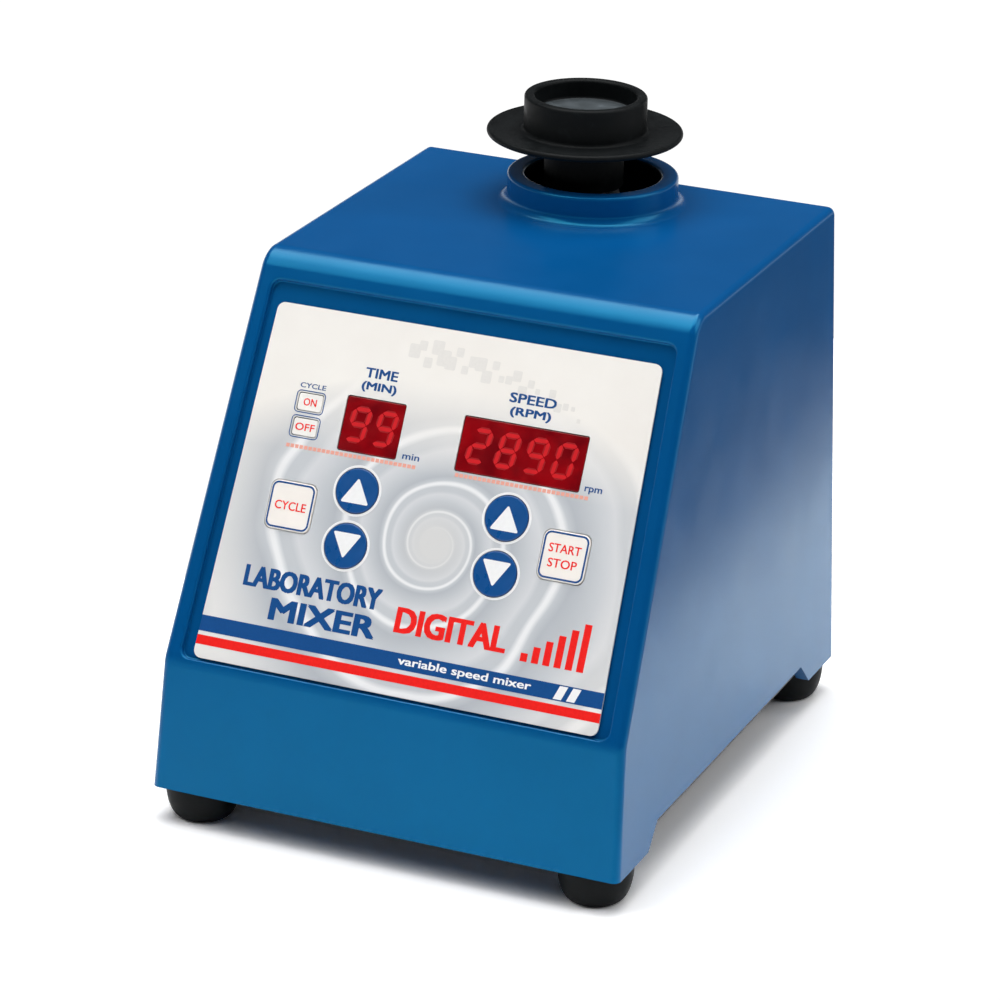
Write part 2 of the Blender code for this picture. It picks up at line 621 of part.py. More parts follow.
def loft_mesh(sections):
    """A closed solid through sections of equal point counts, each an outline at a height."""
    bm = bmesh.new()
    rings = [[bm.verts.new((x, y, z)) for x, y in outline] for outline, z in sections]
    for lower, upper in zip(rings, rings[1:]):
        for i in range(len(lower)):
            bm.faces.new((lower[i - 1], lower[i], upper[i], upper[i - 1]))
    bm.faces.new(reversed(rings[0]))
    bm.faces.new(rings[-1])
    return bm


# Rear ----------------------------------------------------------------------------------------------
def build_inlet(looks, rear):
    """The mains inlet: a flanged socket with three flat pins."""
    x = -INLET_X
    bm = plate_mesh(rounded(rectangle(0.031, 0.024, x), 0.002, 2), GAP, GAP + REAR_FLANGE)
    inlet = add_object("power_inlet", bm, looks["black_plastic"], rear)
    body = plate_mesh(rectangle(0.027, 0.0198, x), -0.020, GAP + 0.0005)
    combine(inlet, add_object("joined_inlet_body", body, None, rear), "UNION")
    half_w, half_h = INLET_MOUTH[0] / 2, INLET_MOUTH[1] / 2
    mouth = [(x - half_w, -half_h), (x + half_w, -half_h), (x + half_w, half_h - INLET_CORNER),
             (x + half_w - INLET_CORNER, half_h), (x - half_w + INLET_CORNER, half_h),
             (x - half_w, half_h - INLET_CORNER)]
    combine(inlet, add_object("cutter_inlet_mouth", plate_mesh(mouth, -INLET_DEPTH, 0.004), None, rear))
    pins = (("live", x - 0.007, -0.002), ("neutral", x + 0.007, -0.002), ("earth", x, 0.002))
    slots = bmesh.new()
    for name, pin_x, pin_y in pins:
        slot = rectangle(PIN_SIZE[0] + 2 * GAP, PIN_SIZE[1] + 2 * GAP, pin_x, pin_y)
        plate_mesh(slot, -0.025, -INLET_DEPTH + 0.001, bm=slots)
        pin = plate_mesh(rectangle(*PIN_SIZE, pin_x, pin_y), -0.024, -0.002)
        add_object(f"inlet_pin_{name}", pin, looks["brass"], rear)
    combine(inlet, add_object("cutter_pin_slots", slots, None, rear))


def build_switch(looks, rear):
    """The power switch: a framed body and a rocker on a level pivot."""
    x = -SWITCH_X
    bm = plate_mesh(rounded(rectangle(0.015, 0.0215, x), 0.0012, 2), GAP, GAP + REAR_FLANGE)
    switch = add_object("power_switch_body", bm, looks["black_plastic"], rear)
    body = plate_mesh(rectangle(0.0127, 0.019, x), -0.016, GAP + 0.0005)
    combine(switch, add_object("joined_switch_body", body, None, rear), "UNION")
    well = plate_mesh(rectangle(*SWITCH_WELL, x), -0.0115, 0.004)
    combine(switch, add_object("cutter_switch_well", well, None, rear))

    pivot = (x, 0, -PIVOT_DEPTH)
    belly = arc(0, 0, 0.005, 200, 340, 4)
    half = SWITCH_WELL[1] / 2 - 0.00095
    section = belly + [(half, 0.0035), (half, 0.0040), (0.0, 0.0030), (-half, 0.0040), (-half, 0.0035)]
    bm = plate_mesh(section, -0.005, 0.005)
    for vert in bm.verts:
        vert.co = (vert.co.z, vert.co.x, vert.co.y)
    rocker = add_object("power_rocker", bm, looks["black_plastic"], rear, pivot)
    rocker.rotation_euler = (-ROCKER_TILT, 0, 0)


# Drive ---------------------------------------------------------------------------------------------
def build_motor(looks):
    """The motor's fixed pieces, hung from the mount plate on rubber isolators."""
    axis = (0, AXIS_Y, 0)
    inner = MOTOR_RADIUS - 0.0015
    pocket = BEARING_RADIUS + GAP
    seat, mouth = LOWER_BEARING - GAP, LOWER_BEARING + BEARING_HEIGHT + 0.0002
    can = [(MOTOR_BORE, MOTOR_BOTTOM), (MOTOR_RADIUS - 0.001, MOTOR_BOTTOM),
           (MOTOR_RADIUS, MOTOR_BOTTOM + 0.001), (MOTOR_RADIUS, MOTOR_SPLIT), (inner, MOTOR_SPLIT),
           (inner, mouth), (pocket, mouth), (pocket, seat), (MOTOR_BORE, seat)]
    add_object("motor_can", turned_mesh(can, 24), looks["plated_steel"], location=axis)
    seat, mouth = UPPER_BEARING + BEARING_HEIGHT + 0.0004, MOTOR_SPLIT + GAP
    bell = [(MOTOR_BORE, MOTOR_TOP), (MOTOR_BORE, seat), (pocket, seat), (pocket, mouth),
            (MOTOR_RADIUS, mouth), (MOTOR_RADIUS, MOTOR_TOP)]
    add_object("motor_end_bell", turned_mesh(bell, 24), looks["aluminium"], location=axis)
    for name, bottom in (("lower_motor_bearing", LOWER_BEARING), ("upper_motor_bearing", UPPER_BEARING)):
        profile = ring(SHAFT_RADIUS + GAP, BEARING_RADIUS, bottom, bottom + BEARING_HEIGHT)
        add_object(name, turned_mesh(profile, 24), looks["bright_steel"], location=axis)

    bottom, top = MOUNT_PLATE
    holes = [circle(0.0023, 12, x, y) for x, y in MOUNT_POSTS] + [circle(0.007, 20, 0, AXIS_Y)]
    outline = rounded(rectangle(0.074, 0.051, 0, 0.0385), 0.006)
    add_object("motor_mount_plate", plate_mesh(outline, bottom, top, holes), looks["plated_steel"])
    for side, (x, y) in zip(("left", "right", "front"), MOUNT_POSTS):
        profile = ring(0.0021, 0.0055, top + GAP, MOUNT_POST_BOTTOM - GAP)
        isolator = turned_mesh(profile, 16)
        add_object(f"motor_isolator_{side}", isolator, looks["rubber"], location=(x, y, 0))
        screw = turned_mesh(screw_profile(0.0032, 0.002, 0.0017, 0.018, bottom - GAP - 0.002), 12)
        add_object(f"motor_mount_screw_{side}", screw, looks["plated_steel"], location=(x, y, 0))


def build_rotor(looks, rotor):
    """Everything that spins: shaft, armature, fan and the eccentric hub with its counterweight."""
    shaft = turned_mesh(rod(SHAFT_RADIUS, *SHAFT_ENDS), 16)
    add_object("motor_shaft", shaft, looks["bright_steel"], rotor)
    armature = turned_mesh(ring(SHAFT_RADIUS + GAP, MOTOR_RADIUS - 0.0035, *ARMATURE), 28)
    add_object("motor_armature", armature, looks["copper"], rotor)

    blades, hub, tip, half = 8, 0.0055, 0.016, 0.0008
    outline = []
    for number in range(blades):
        angle = 2 * math.pi * number / blades
        for along, across in ((hub, -half), (tip, -half), (tip, half), (hub, half)):
            outline.append((along * math.cos(angle) - across * math.sin(angle),
                            along * math.sin(angle) + across * math.cos(angle)))
    fan = plate_mesh(outline, *FAN, [circle(SHAFT_RADIUS + GAP, 16)])
    add_object("cooling_fan", fan, looks["black_plastic"], rotor)

    hub = add_object("eccentric_hub", turned_mesh(rod(HUB_RADIUS, *HUB), 24), looks["plated_steel"], rotor)
    opposite = REST_ANGLE + math.pi
    spread = [opposite + math.radians(a) for a in range(-80, 81, 16)]
    outer, inner = 0.017, 0.004
    sector = [(outer * math.cos(a), outer * math.sin(a)) for a in spread]
    sector += [(inner * math.cos(a), inner * math.sin(a)) for a in (spread[-1] + 0.3, spread[0] - 0.3)]
    weight = plate_mesh(sector, *WEIGHT)
    combine(hub, add_object("joined_counterweight", weight, None, rotor), "UNION")
    pin = turned_mesh(rod(PIN_RADIUS, HUB[1] - 0.001, PIN_TOP), 16)
    combine(hub, add_object("joined_crank_pin", pin, None, rotor, CRANK_OFFSET), "UNION")
    bore = turned_mesh(rod(SHAFT_RADIUS + GAP, HUB[0] - 0.0015, SHAFT_ENDS[1] + GAP), 16)
    combine(hub, add_object("cutter_shaft_bore", bore, None, rotor))


def build_head(looks, head):
    """The orbiting head: bearing, hub, restraint plate and the push-on rubber cup."""
    bearing = turned_mesh(ring(PIN_RADIUS + GAP, BEARING_RADIUS, *HEAD_BEARING), 24)
    add_object("head_bearing", bearing, looks["bright_steel"], head)
    pocket = BEARING_RADIUS + GAP
    ceiling, bottom = PIN_TOP + 0.0005, HEAD_BEARING[0] - GAP
    shoulder = RESTRAINT_PLATE[1] + GAP
    hub = [(0, ceiling), (pocket, ceiling), (pocket, bottom), (0.0082, bottom), (0.0082, shoulder),
           (0.011, shoulder), (0.011, shoulder + 0.0022), (0.0094, shoulder + 0.0022), (0.0094, 0.136),
           (HEAD_POST_RADIUS, 0.137), (HEAD_POST_RADIUS, HEAD_POST_TOP - 0.0008),
           (HEAD_POST_RADIUS - 0.0008, HEAD_POST_TOP), (0, HEAD_POST_TOP)]
    add_object("head_hub", turned_mesh(hub, 20), looks["aluminium"], head)

    reach = MOUNT_POSTS[1][0]
    holes = [circle(RESTRAINT_HOLE, 20, x) for x in (-reach, reach)] + [circle(0.0085, 20)]
    outline = rounded(rectangle(2 * reach + 0.024, 0.024), 0.0119, 6)
    add_object("restraint_plate", plate_mesh(outline, *RESTRAINT_PLATE, holes), looks["plated_steel"], head)
    add_object("mixing_cup", cup_mesh(), looks["rubber"], head)


def cup_mesh():
    """A rubber cup with a wide splash flange and a stem that grips the head's post."""
    bore = HEAD_POST_RADIUS + GAP
    edge_half = FLANGE_EDGE / 2
    edge_middle = FLANGE_TOP + FLANGE_RISE - edge_half
    profile = [(0, CUP_FLOOR - 0.0004), (0.007, CUP_FLOOR - 0.0003), (CUP_INNER_RADIUS - 0.0006, CUP_FLOOR)]
    profile += [(CUP_INNER_RADIUS - 0.0001, CUP_FLOOR + 0.0007)]
    profile += arc(CUP_INNER_RADIUS + 0.0008, CUP_RIM - 0.0008, 0.0008, 180, 90, 2)
    profile += arc(CUP_OUTER_RADIUS - 0.0008, CUP_RIM - 0.0008, 0.0008, 90, 0, 2)
    profile += arc(CUP_OUTER_RADIUS + 0.001, FLANGE_TOP + 0.001, 0.001, 180, 270, 2)
    profile += arc(FLANGE_RADIUS - edge_half, edge_middle, edge_half, 90, -90, 4)
    profile += [(STEM_RADIUS + 0.0008, FLANGE_BOTTOM), (STEM_RADIUS, FLANGE_BOTTOM - 0.0008)]
    profile += [(STEM_RADIUS, STEM_BOTTOM), (bore, STEM_BOTTOM), (bore, HEAD_POST_TOP + GAP),
                (0, HEAD_POST_TOP + GAP)]
    return turned_mesh(profile, 32)


# Electronics -----------------------------------------------------------------------------------------
def build_power_supply(looks):
    """The power board on the base plate's standoffs, its transformer and the cable to the panel."""
    bm = plate_mesh(rounded(rectangle(0.080, 0.062, 0, POWER_BOARD_Y), 0.0015, 2), *POWER_BOARD)
    add_object("power_board", bm, looks["circuit_board"])
    bottom = POWER_BOARD[1] + GAP
    block = plate_mesh(rectangle(0.036, 0.030, *TRANSFORMER), bottom, bottom + 0.0241)
    core = add_object("power_transformer", block, looks["plated_steel"])
    coil = plate_mesh(rounded(rectangle(0.024, 0.038, *TRANSFORMER), 0.003), bottom + 0.0041, bottom + 0.0201)
    combine(core, add_object("joined_coil", coil), "UNION")
    build_ribbon(looks["grey_cable"])


def build_ribbon(look):
    """A flat cable that hangs from the display board's lower edge down to the power board."""
    half = RIBBON_THICKNESS / 2
    (start_y, start_z), (end_y, end_z) = RIBBON_TOP, RIBBON_FOOT
    steps = 8
    centre = []
    for k in range(steps + 1):
        t = k / steps
        bow = RIBBON_BOW * math.sin(math.pi * t)
        centre.append((start_y + (end_y - start_y) * t + bow, start_z + (end_z - start_z) * t))
    outline = [(y - half, z) for y, z in centre] + [(y + half, z) for y, z in reversed(centre)]
    bm = plate_mesh(outline, RIBBON_X - RIBBON_WIDTH / 2, RIBBON_X + RIBBON_WIDTH / 2)
    for vert in bm.verts:
        vert.co = (vert.co.z, vert.co.x, vert.co.y)
    add_object("display_ribbon_cable", bm, look)


def main():
    """Clear the scene and build the mixer."""
    for obj in list(bpy.data.objects):
        bpy.data.objects.remove(obj, do_unlink=True)
    looks = make_materials()
    panel = frame_empty("panel_frame", (0, BREAK_Y, BREAK_HEIGHT), (SLOPE, 0, 0))
    rear_turn = (math.pi / 2 - BACK_ANGLE, 0, math.pi)
    rear = frame_empty("rear_frame", (0, back_y(REAR_HEIGHT), REAR_HEIGHT), rear_turn)
    rotor = frame_empty("rotor_axis", (0, AXIS_Y, 0))
    head = frame_empty("head_axis", CRANK_OFFSET, parent=rotor)

    build_housing(looks, panel, rear)
    build_base(looks)
    build_feet(looks)
    build_panel(looks, panel)
    build_display_board(looks, panel)
    build_keys(looks, panel)
    build_inlet(looks, rear)
    build_switch(looks, rear)
    build_motor(looks)
    build_rotor(looks, rotor)
    build_head(looks, head)
    build_power_supply(looks)


main()
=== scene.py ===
"""Looks of the bench-top vortex mixer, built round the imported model.

Metres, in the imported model's frame: +Z up, the panel faces -Y, the feet stand on z = 0.
Things on the panel are drawn in the panel's own frame: x across, y up the slope, z out of the film.
"""

import json
import math

import bmesh
import bpy
from mathutils import Matrix, Vector


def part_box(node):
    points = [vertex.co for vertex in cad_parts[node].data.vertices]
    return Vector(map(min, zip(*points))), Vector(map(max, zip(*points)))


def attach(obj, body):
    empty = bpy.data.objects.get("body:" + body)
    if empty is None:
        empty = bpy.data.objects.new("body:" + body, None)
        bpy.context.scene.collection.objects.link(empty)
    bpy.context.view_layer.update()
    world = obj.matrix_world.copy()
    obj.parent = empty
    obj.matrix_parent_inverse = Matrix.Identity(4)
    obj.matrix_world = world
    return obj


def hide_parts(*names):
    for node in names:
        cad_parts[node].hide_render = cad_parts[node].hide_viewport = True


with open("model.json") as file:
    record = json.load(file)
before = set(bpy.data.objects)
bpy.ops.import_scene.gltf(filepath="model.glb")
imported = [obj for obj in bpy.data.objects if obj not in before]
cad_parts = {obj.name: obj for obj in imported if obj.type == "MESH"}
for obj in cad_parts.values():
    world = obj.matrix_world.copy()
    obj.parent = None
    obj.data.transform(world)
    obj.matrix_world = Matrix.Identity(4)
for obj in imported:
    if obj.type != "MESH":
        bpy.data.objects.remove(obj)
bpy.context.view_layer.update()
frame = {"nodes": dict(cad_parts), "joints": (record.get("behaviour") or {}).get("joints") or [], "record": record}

# Nodes that come in sets
CORNERS = ("front_left", "front_right", "back_left", "back_right")
WINDOWS = ("time_display_window", "speed_display_window")
GUIDES = ("interval_on_light_guide", "interval_off_light_guide")

# Housing, the same sizes as the design's
SHELL_LOW, SHELL_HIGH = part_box("housing_shell")
BOTTOM_Z = SHELL_LOW.z
COLLAR_TOP = SHELL_HIGH.z
TOP_Z = COLLAR_TOP - 0.0075
BREAK_Z = 0.0424
BOTTOM_WIDTH = SHELL_HIGH.x - SHELL_LOW.x
TOP_WIDTH = 0.1146
FRONT_Y = SHELL_LOW.y
BACK_Y = SHELL_HIGH.y
TOP_DEPTH = 0.09775
LEAN = 0.0036
WALL = 0.0035
PANEL_WALL = 0.0045
TOP_FRONT_RADIUS = 0.007
EDGE_RADIUS = 0.002
NOTCH_TOP = BOTTOM_Z + 0.0062   # both side walls are cut away below this height
NOTCH_HALF = 0.0508             # half the length of that cut at its top; its ends slope at 45 degrees
GAP = 0.0003
BREAK_Y = FRONT_Y + LEAN
TOP_BACK_Y = BACK_Y - LEAN
TOP_FRONT_Y = TOP_BACK_Y - TOP_DEPTH
SLOPE = math.atan2(TOP_Z - BREAK_Z, TOP_FRONT_Y - BREAK_Y)
BACK_ANGLE = math.atan2(LEAN, TOP_Z - BOTTOM_Z)

COLLAR_RADIUS = 0.02185
COLLAR_BORE = 0.0174
COLLAR_FILLET = 0.0026
COLLAR_EDGE = 0.0008

POCKET_MARGIN = 0.0007          # from the film's lower edge down to the pocket's
POCKET_LENGTH = 0.0954
POCKET_FLANGE = 0.0043          # between the pocket and the housing's sides
POCKET_CORNER = 0.0025
POCKET_RIM = 0.0007             # radius of the pocket's rim
POCKET_FOOT = 0.0004            # radius at the foot of its walls
FACE_ABOVE_FILM = 0.0008        # the slanted face stands this far above the film's face
POCKET_BELOW_FILM = 0.0008

# Film and print
FILM_THICKNESS = 0.0005
FILM_CORNER = 0.002
CLEARANCE = 0.0002
WINDOW_CORNER = 0.0006
GUIDE_DEPTH = 0.0079            # the light guides reach down to the board
INK = 0.00003                   # thickness of a layer of print
VORTEX_CENTRE = (0.0028, 0.0378)
VORTEX_GROWTH = 1.75            # how many times wider the spiral is after each turn
VORTEX_START = 0.004

# Keys, as heights out of the film
KEY_CORNER = 0.002
KEY_TOP = 0.00035
KEY_EDGE = 0.0003
FLANGE_FRONT = -0.00085
FLANGE_BACK = -0.0016
KEY_STEM_END = -0.0042

# Cup
CUP_LOW, CUP_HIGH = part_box("mixing_cup")
CUP_RIM = CUP_HIGH.z
CUP_FLOOR = CUP_RIM - 0.0051
FLANGE_TOP = CUP_RIM - 0.0095
FLANGE_BOTTOM = CUP_RIM - 0.0117
FLANGE_RISE = 0.0006            # the flange turns up by this much towards its edge
FLANGE_EDGE = 0.0016
FLANGE_RADIUS = (CUP_HIGH.x - CUP_LOW.x) / 2
CUP_OUTER = 0.01565
CUP_INNER = 0.013
STEM_RADIUS = 0.0102
STEM_BORE = 0.0067
POST_TOP = 0.1503

# Rear
REAR_FACE = GAP + 0.0012        # outer face of the inlet's and the switch's flange
INLET_MOUTH = (0.024, 0.0165)
INLET_CUT = 0.004
INLET_DEPTH = 0.015
SWITCH_WELL = (0.0106, 0.0167)
ROCKER_TILT = math.radians(8)
ROCKER_FACE = 0.003             # height of the rocker's face over its pivot, at its middle
ROCKER_DISH = 0.001             # how much higher the face is at its two ends

# Stage
FLOOR_SIZE = (0.252, 0.85)
FLOOR_MIDDLE = -0.085
DARK_SIDE = Vector((0.440, 0.830, -0.334))      # where the studio is dark, seen from the object

# Camera, aimed at a point near the middle of the object ---
CAMERA_AZIMUTH = math.radians(22.85)
CAMERA_ELEVATION = math.radians(21.55)
CAMERA_ROLL = math.radians(1.5)
CAMERA_DISTANCE = 1.125
CAMERA_TARGET = Vector((-0.0037, 0.0015, 0.06765))
CAMERA_LENS = 160.8


# Outlines: closed lists of (x, y), anticlockwise
def rectangle(width, height, x=0.0, y=0.0):
    """Four corners of a rectangle centred on (x, y)."""
    signs = ((-1, -1), (1, -1), (1, 1), (-1, 1))
    return [(x + sx * width / 2, y + sy * height / 2) for sx, sy in signs]


def circle(radius, steps, x=0.0, y=0.0):
    """Points round a circle."""
    turns = [2 * math.pi * i / steps for i in range(steps)]
    return [(x + radius * math.cos(a), y + radius * math.sin(a)) for a in turns]


def rounded(corners, radius, steps=8):
    """A convex outline with each corner turned into an arc."""
    points = []
    for i, (x, y) in enumerate(corners):
        px, py = corners[i - 1]
        nx, ny = corners[(i + 1) % len(corners)]
        start = math.atan2(y - py, x - px)
        turn = (math.atan2(ny - y, nx - x) - start) % (2 * math.pi)
        reach = radius * math.tan(turn / 2)
        centre_x = x - reach * math.cos(start) - radius * math.sin(start)
        centre_y = y - reach * math.sin(start) + radius * math.cos(start)
        for k in range(steps + 1):
            angle = start - math.pi / 2 + turn * k / steps
            points.append((centre_x + radius * math.cos(angle), centre_y + radius * math.sin(angle)))
    return points


def inset(corners, distances):
    """A convex outline whose sides move inwards, each by its own distance."""
    lines = []
    for i, (x, y) in enumerate(corners):
        nx, ny = corners[(i + 1) % len(corners)]
        length = math.hypot(nx - x, ny - y)
        dx, dy = (nx - x) / length, (ny - y) / length
        lines.append((x - dy * distances[i], y + dx * distances[i], dx, dy))
    points = []
    for i, (x, y, dx, dy) in enumerate(lines):
        px, py, pdx, pdy = lines[i - 1]
        along = ((x - px) * dy - (y - py) * dx) / (pdx * dy - pdy * dx)
        points.append((px + pdx * along, py + pdy * along))
    return points


def arc(centre_r, centre_z, radius, start, end, steps):
    """Points of an arc in a turned profile, with angles in degrees from +r."""
    angles = [math.radians(start + (end - start) * i / steps) for i in range(steps + 1)]
    return [(centre_r + radius * math.cos(a), centre_z + radius * math.sin(a)) for a in angles]


# Meshes
def plate(outline, bottom, top, holes=(), bm=None):
    """A flat plate between two heights."""
    bm = bm or bmesh.new()
    edges = []
    for loop in (outline, *holes):
        verts = [bm.verts.new((x, y, bottom)) for x, y in loop]
        edges += map(bm.edges.new, zip(verts, verts[1:] + verts[:1]))
    filled = bmesh.ops.triangle_fill(bm, edges=edges, use_beauty=True)["geom"]
    faces = [item for item in filled if isinstance(item, bmesh.types.BMFace)]
    raised = bmesh.ops.extrude_face_region(bm, geom=faces, use_keep_orig=True)["geom"]
    moved = [item for item in raised if isinstance(item, bmesh.types.BMVert)]
    bmesh.ops.translate(bm, verts=moved, vec=(0, 0, top - bottom))
    return bm


def turned(profile, segments=96, x=0.0, y=0.0):
    """A solid turned about an upright axis, from an outline of (radius, height)."""
    bm = bmesh.new()
    verts = [bm.verts.new((x + r, y, z)) for r, z in profile]
    pairs = list(zip(verts, verts[1:]))
    if profile[0][0] > 0 or profile[-1][0] > 0:
        pairs.append((verts[-1], verts[0]))
    edges = [bm.edges.new(pair) for pair in pairs]
    bmesh.ops.spin(bm, geom=verts + edges, cent=(x, y, 0), axis=(0, 0, 1),
                   angle=2 * math.pi, steps=segments, use_merge=True)
    bmesh.ops.remove_doubles(bm, verts=bm.verts, dist=1e-7)
    return bm


def loft(sections):
    """A solid through sections of equal point counts, each an outline at a height."""
    bm = bmesh.new()
    rings = [[bm.verts.new((x, y, z)) for x, y in outline] for outline, z in sections]
    for lower, upper in zip(rings, rings[1:]):
        for i in range(len(lower)):
            bm.faces.new((lower[i - 1], lower[i], upper[i], upper[i - 1]))
    bm.faces.new(reversed(rings[0]))
    bm.faces.new(rings[-1])
    return bm


def between(near, far):
    """A solid between two outlines of equal point counts, each a list of (x, y, z)."""
    bm = bmesh.new()
    rings = [[bm.verts.new(point) for point in outline] for outline in (near, far)]
    bm.faces.new(rings[0])
    bm.faces.new(reversed(rings[1]))
    for i in range(len(near)):
        bm.faces.new((rings[0][i - 1], rings[0][i], rings[1][i], rings[1][i - 1]))
    bmesh.ops.recalc_face_normals(bm, faces=bm.faces)
    return bm


def ring(corners, radius, sunk, z):
    """A section for a loft: the rounded outline, moved inwards, at a height."""
    return rounded(inset(corners, [sunk] * len(corners)), radius - sunk), z


def soft_edge(corners, corner_radius, top, edge, steps):
    """Sections of an upper edge that rounds over."""
    angles = [math.pi / 2 * k / steps for k in range(steps + 1)]
    return [ring(corners, corner_radius, edge * (1 - math.cos(a)), top - edge + edge * math.sin(a))
            for a in angles]


def softened(corners, corner_radius, bottom, top, edge):
    """A plate with rounded corners and a soft upper edge."""
    foot = (rounded(corners, corner_radius), bottom)
    return loft([foot] + soft_edge(corners, corner_radius, top, edge, 4))


def written(text, width, height, x, y, bottom, top, bm=None, bold=0.02):
    """Letters of the built-in typeface, stretched to a width and a height, centred on (x, y).

    Five copies a little apart make them bolder. Each lies lower than the last, so none share a surface.
    """
    curve = bpy.data.curves.new("letters", "FONT")
    curve.body = text
    curve.extrude = 0.5
    curve.resolution_u = 3
    holder = bpy.data.objects.new("letters", curve)
    mesh = bpy.data.meshes.new_from_object(holder)
    xs = [v.co.x for v in mesh.vertices]
    ys = [v.co.y for v in mesh.vertices]
    middle = Vector(((min(xs) + max(xs)) / 2, (min(ys) + max(ys)) / 2, -0.5))
    scale = (width / (max(xs) - min(xs)), height / (max(ys) - min(ys)), top - bottom)
    mesh.transform(Matrix.Translation((x, y, bottom)) @ Matrix.Diagonal((*scale, 1))
                   @ Matrix.Translation(-middle))
    shift = bold * height
    letters = bmesh.new()
    for k, (dx, dy) in enumerate(((0, 0), (-1, -0.5), (1, -0.5), (1, 0.5), (-1, 0.5))):
        step = Vector((dx * shift, dy * shift, -0.000003 * k))
        mesh.transform(Matrix.Translation(step))
        letters.from_mesh(mesh)
        mesh.transform(Matrix.Translation(-step))
        bmesh.ops.remove_doubles(letters, verts=letters.verts, dist=1e-7)
    letters.to_mesh(mesh)
    letters.free()
    bm = bm or bmesh.new()
    bm.from_mesh(mesh)
    bpy.data.objects.remove(holder)
    return bm


# Pieces
def placed(name, bm, place=None):
    """A new object in the scene."""
    mesh = bpy.data.meshes.new(name)
    bm.to_mesh(mesh)
    bm.free()
    obj = bpy.data.objects.new(name, mesh)
    obj.matrix_world = place or Matrix()
    bpy.context.scene.collection.objects.link(obj)
    return obj


def piece(name, bm, looks, body="chassis", place=None, stands_for=()):
    """One visible object, which rides on a body and stands for CAD nodes."""
    bmesh.ops.recalc_face_normals(bm, faces=bm.faces)
    obj = placed(name, bm, place)
    for look in looks:
        obj.data.materials.append(LOOKS[look])
    smooth(obj, 35)
    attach(obj, body)
    if stands_for:
        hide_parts(*stands_for)
    return obj


def smooth(obj, sharp):
    """Smooth shading that keeps flat faces flat and edges over the given angle sharp."""
    obj.data.shade_smooth()
    obj.data.set_sharp_from_angle(angle=math.radians(sharp))
    weight_normals(obj)


def weight_normals(obj):
    """Let the large faces set the shading, so that they look flat."""
    obj.modifiers.new("flat_faces_stay_flat", "WEIGHTED_NORMAL").keep_sharp = True


def combine(obj, bm, operation="DIFFERENCE", place=None):
    """Cut a shape from an object for good, or join it on."""
    bmesh.ops.recalc_face_normals(bm, faces=bm.faces)
    tool = placed("tool", bm, place)
    modifier = obj.modifiers.new("combine", "BOOLEAN")
    modifier.operation = operation
    modifier.solver = "EXACT"
    modifier.object = tool
    result = bpy.data.meshes.new_from_object(obj.evaluated_get(bpy.context.evaluated_depsgraph_get()))
    obj.modifiers.clear()
    obj.data = result
    bpy.data.objects.remove(tool)


def middle_of(node):
    """The middle of a node's box."""
    low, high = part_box(node)
    return (low + high) / 2


def panel_frame():
    """The panel's frame in the model: from the film's face, its lower edge and the keys' direction."""
    inward = next(joint["axis"] for joint in frame["joints"] if joint["name"] == "time_up_press")
    out = -Vector(inward).normalized()
    up = out.cross(Vector((1, 0, 0)))
    points = [v.co for v in frame["nodes"]["panel_overlay"].data.vertices]
    place = Matrix((Vector((1, 0, 0)), up, out)).transposed().to_4x4()
    place.translation = out * max(p.dot(out) for p in points) + up * min(p.dot(up) for p in points)
    return place


PANEL = panel_frame()
TO_PANEL = PANEL.inverted()
REAR_Z = middle_of("power_inlet").z


def panel_points(node):
    """A node's vertices in the panel's frame."""
    return [TO_PANEL @ v.co for v in frame["nodes"][node].data.vertices]


def panel_box(node):
    """Centre and size (x, y, width, height) of what a node shows at the film's face."""
    shown = [p for p in panel_points(node) if p.z > -0.0004]
    xs, ys = [p.x for p in shown], [p.y for p in shown]
    return ((min(xs) + max(xs)) / 2, (min(ys) + max(ys)) / 2, max(xs) - min(xs), max(ys) - min(ys))


def rear_frame():
    """The back face's frame: x towards the model's -X, y up, z out, at the inlet's height."""
    share = (REAR_Z - BOTTOM_Z) / (TOP_Z - BOTTOM_Z)
    turn = Matrix.Rotation(math.pi, 4, "Z") @ Matrix.Rotation(math.pi / 2 - BACK_ANGLE, 4, "X")
    return Matrix.Translation((0, BACK_Y - LEAN * share, REAR_Z)) @ turn


REAR = rear_frame()


# Materials
def colour(red, green, blue):
    """A colour given as 0 to 255 values, as the shaders want it."""
    values = [c / 255 for c in (red, green, blue)]
    linear = [c / 12.92 if c <= 0.04045 else ((c + 0.055) / 1.055) ** 2.4 for c in values]
    return (*linear, 1.0)


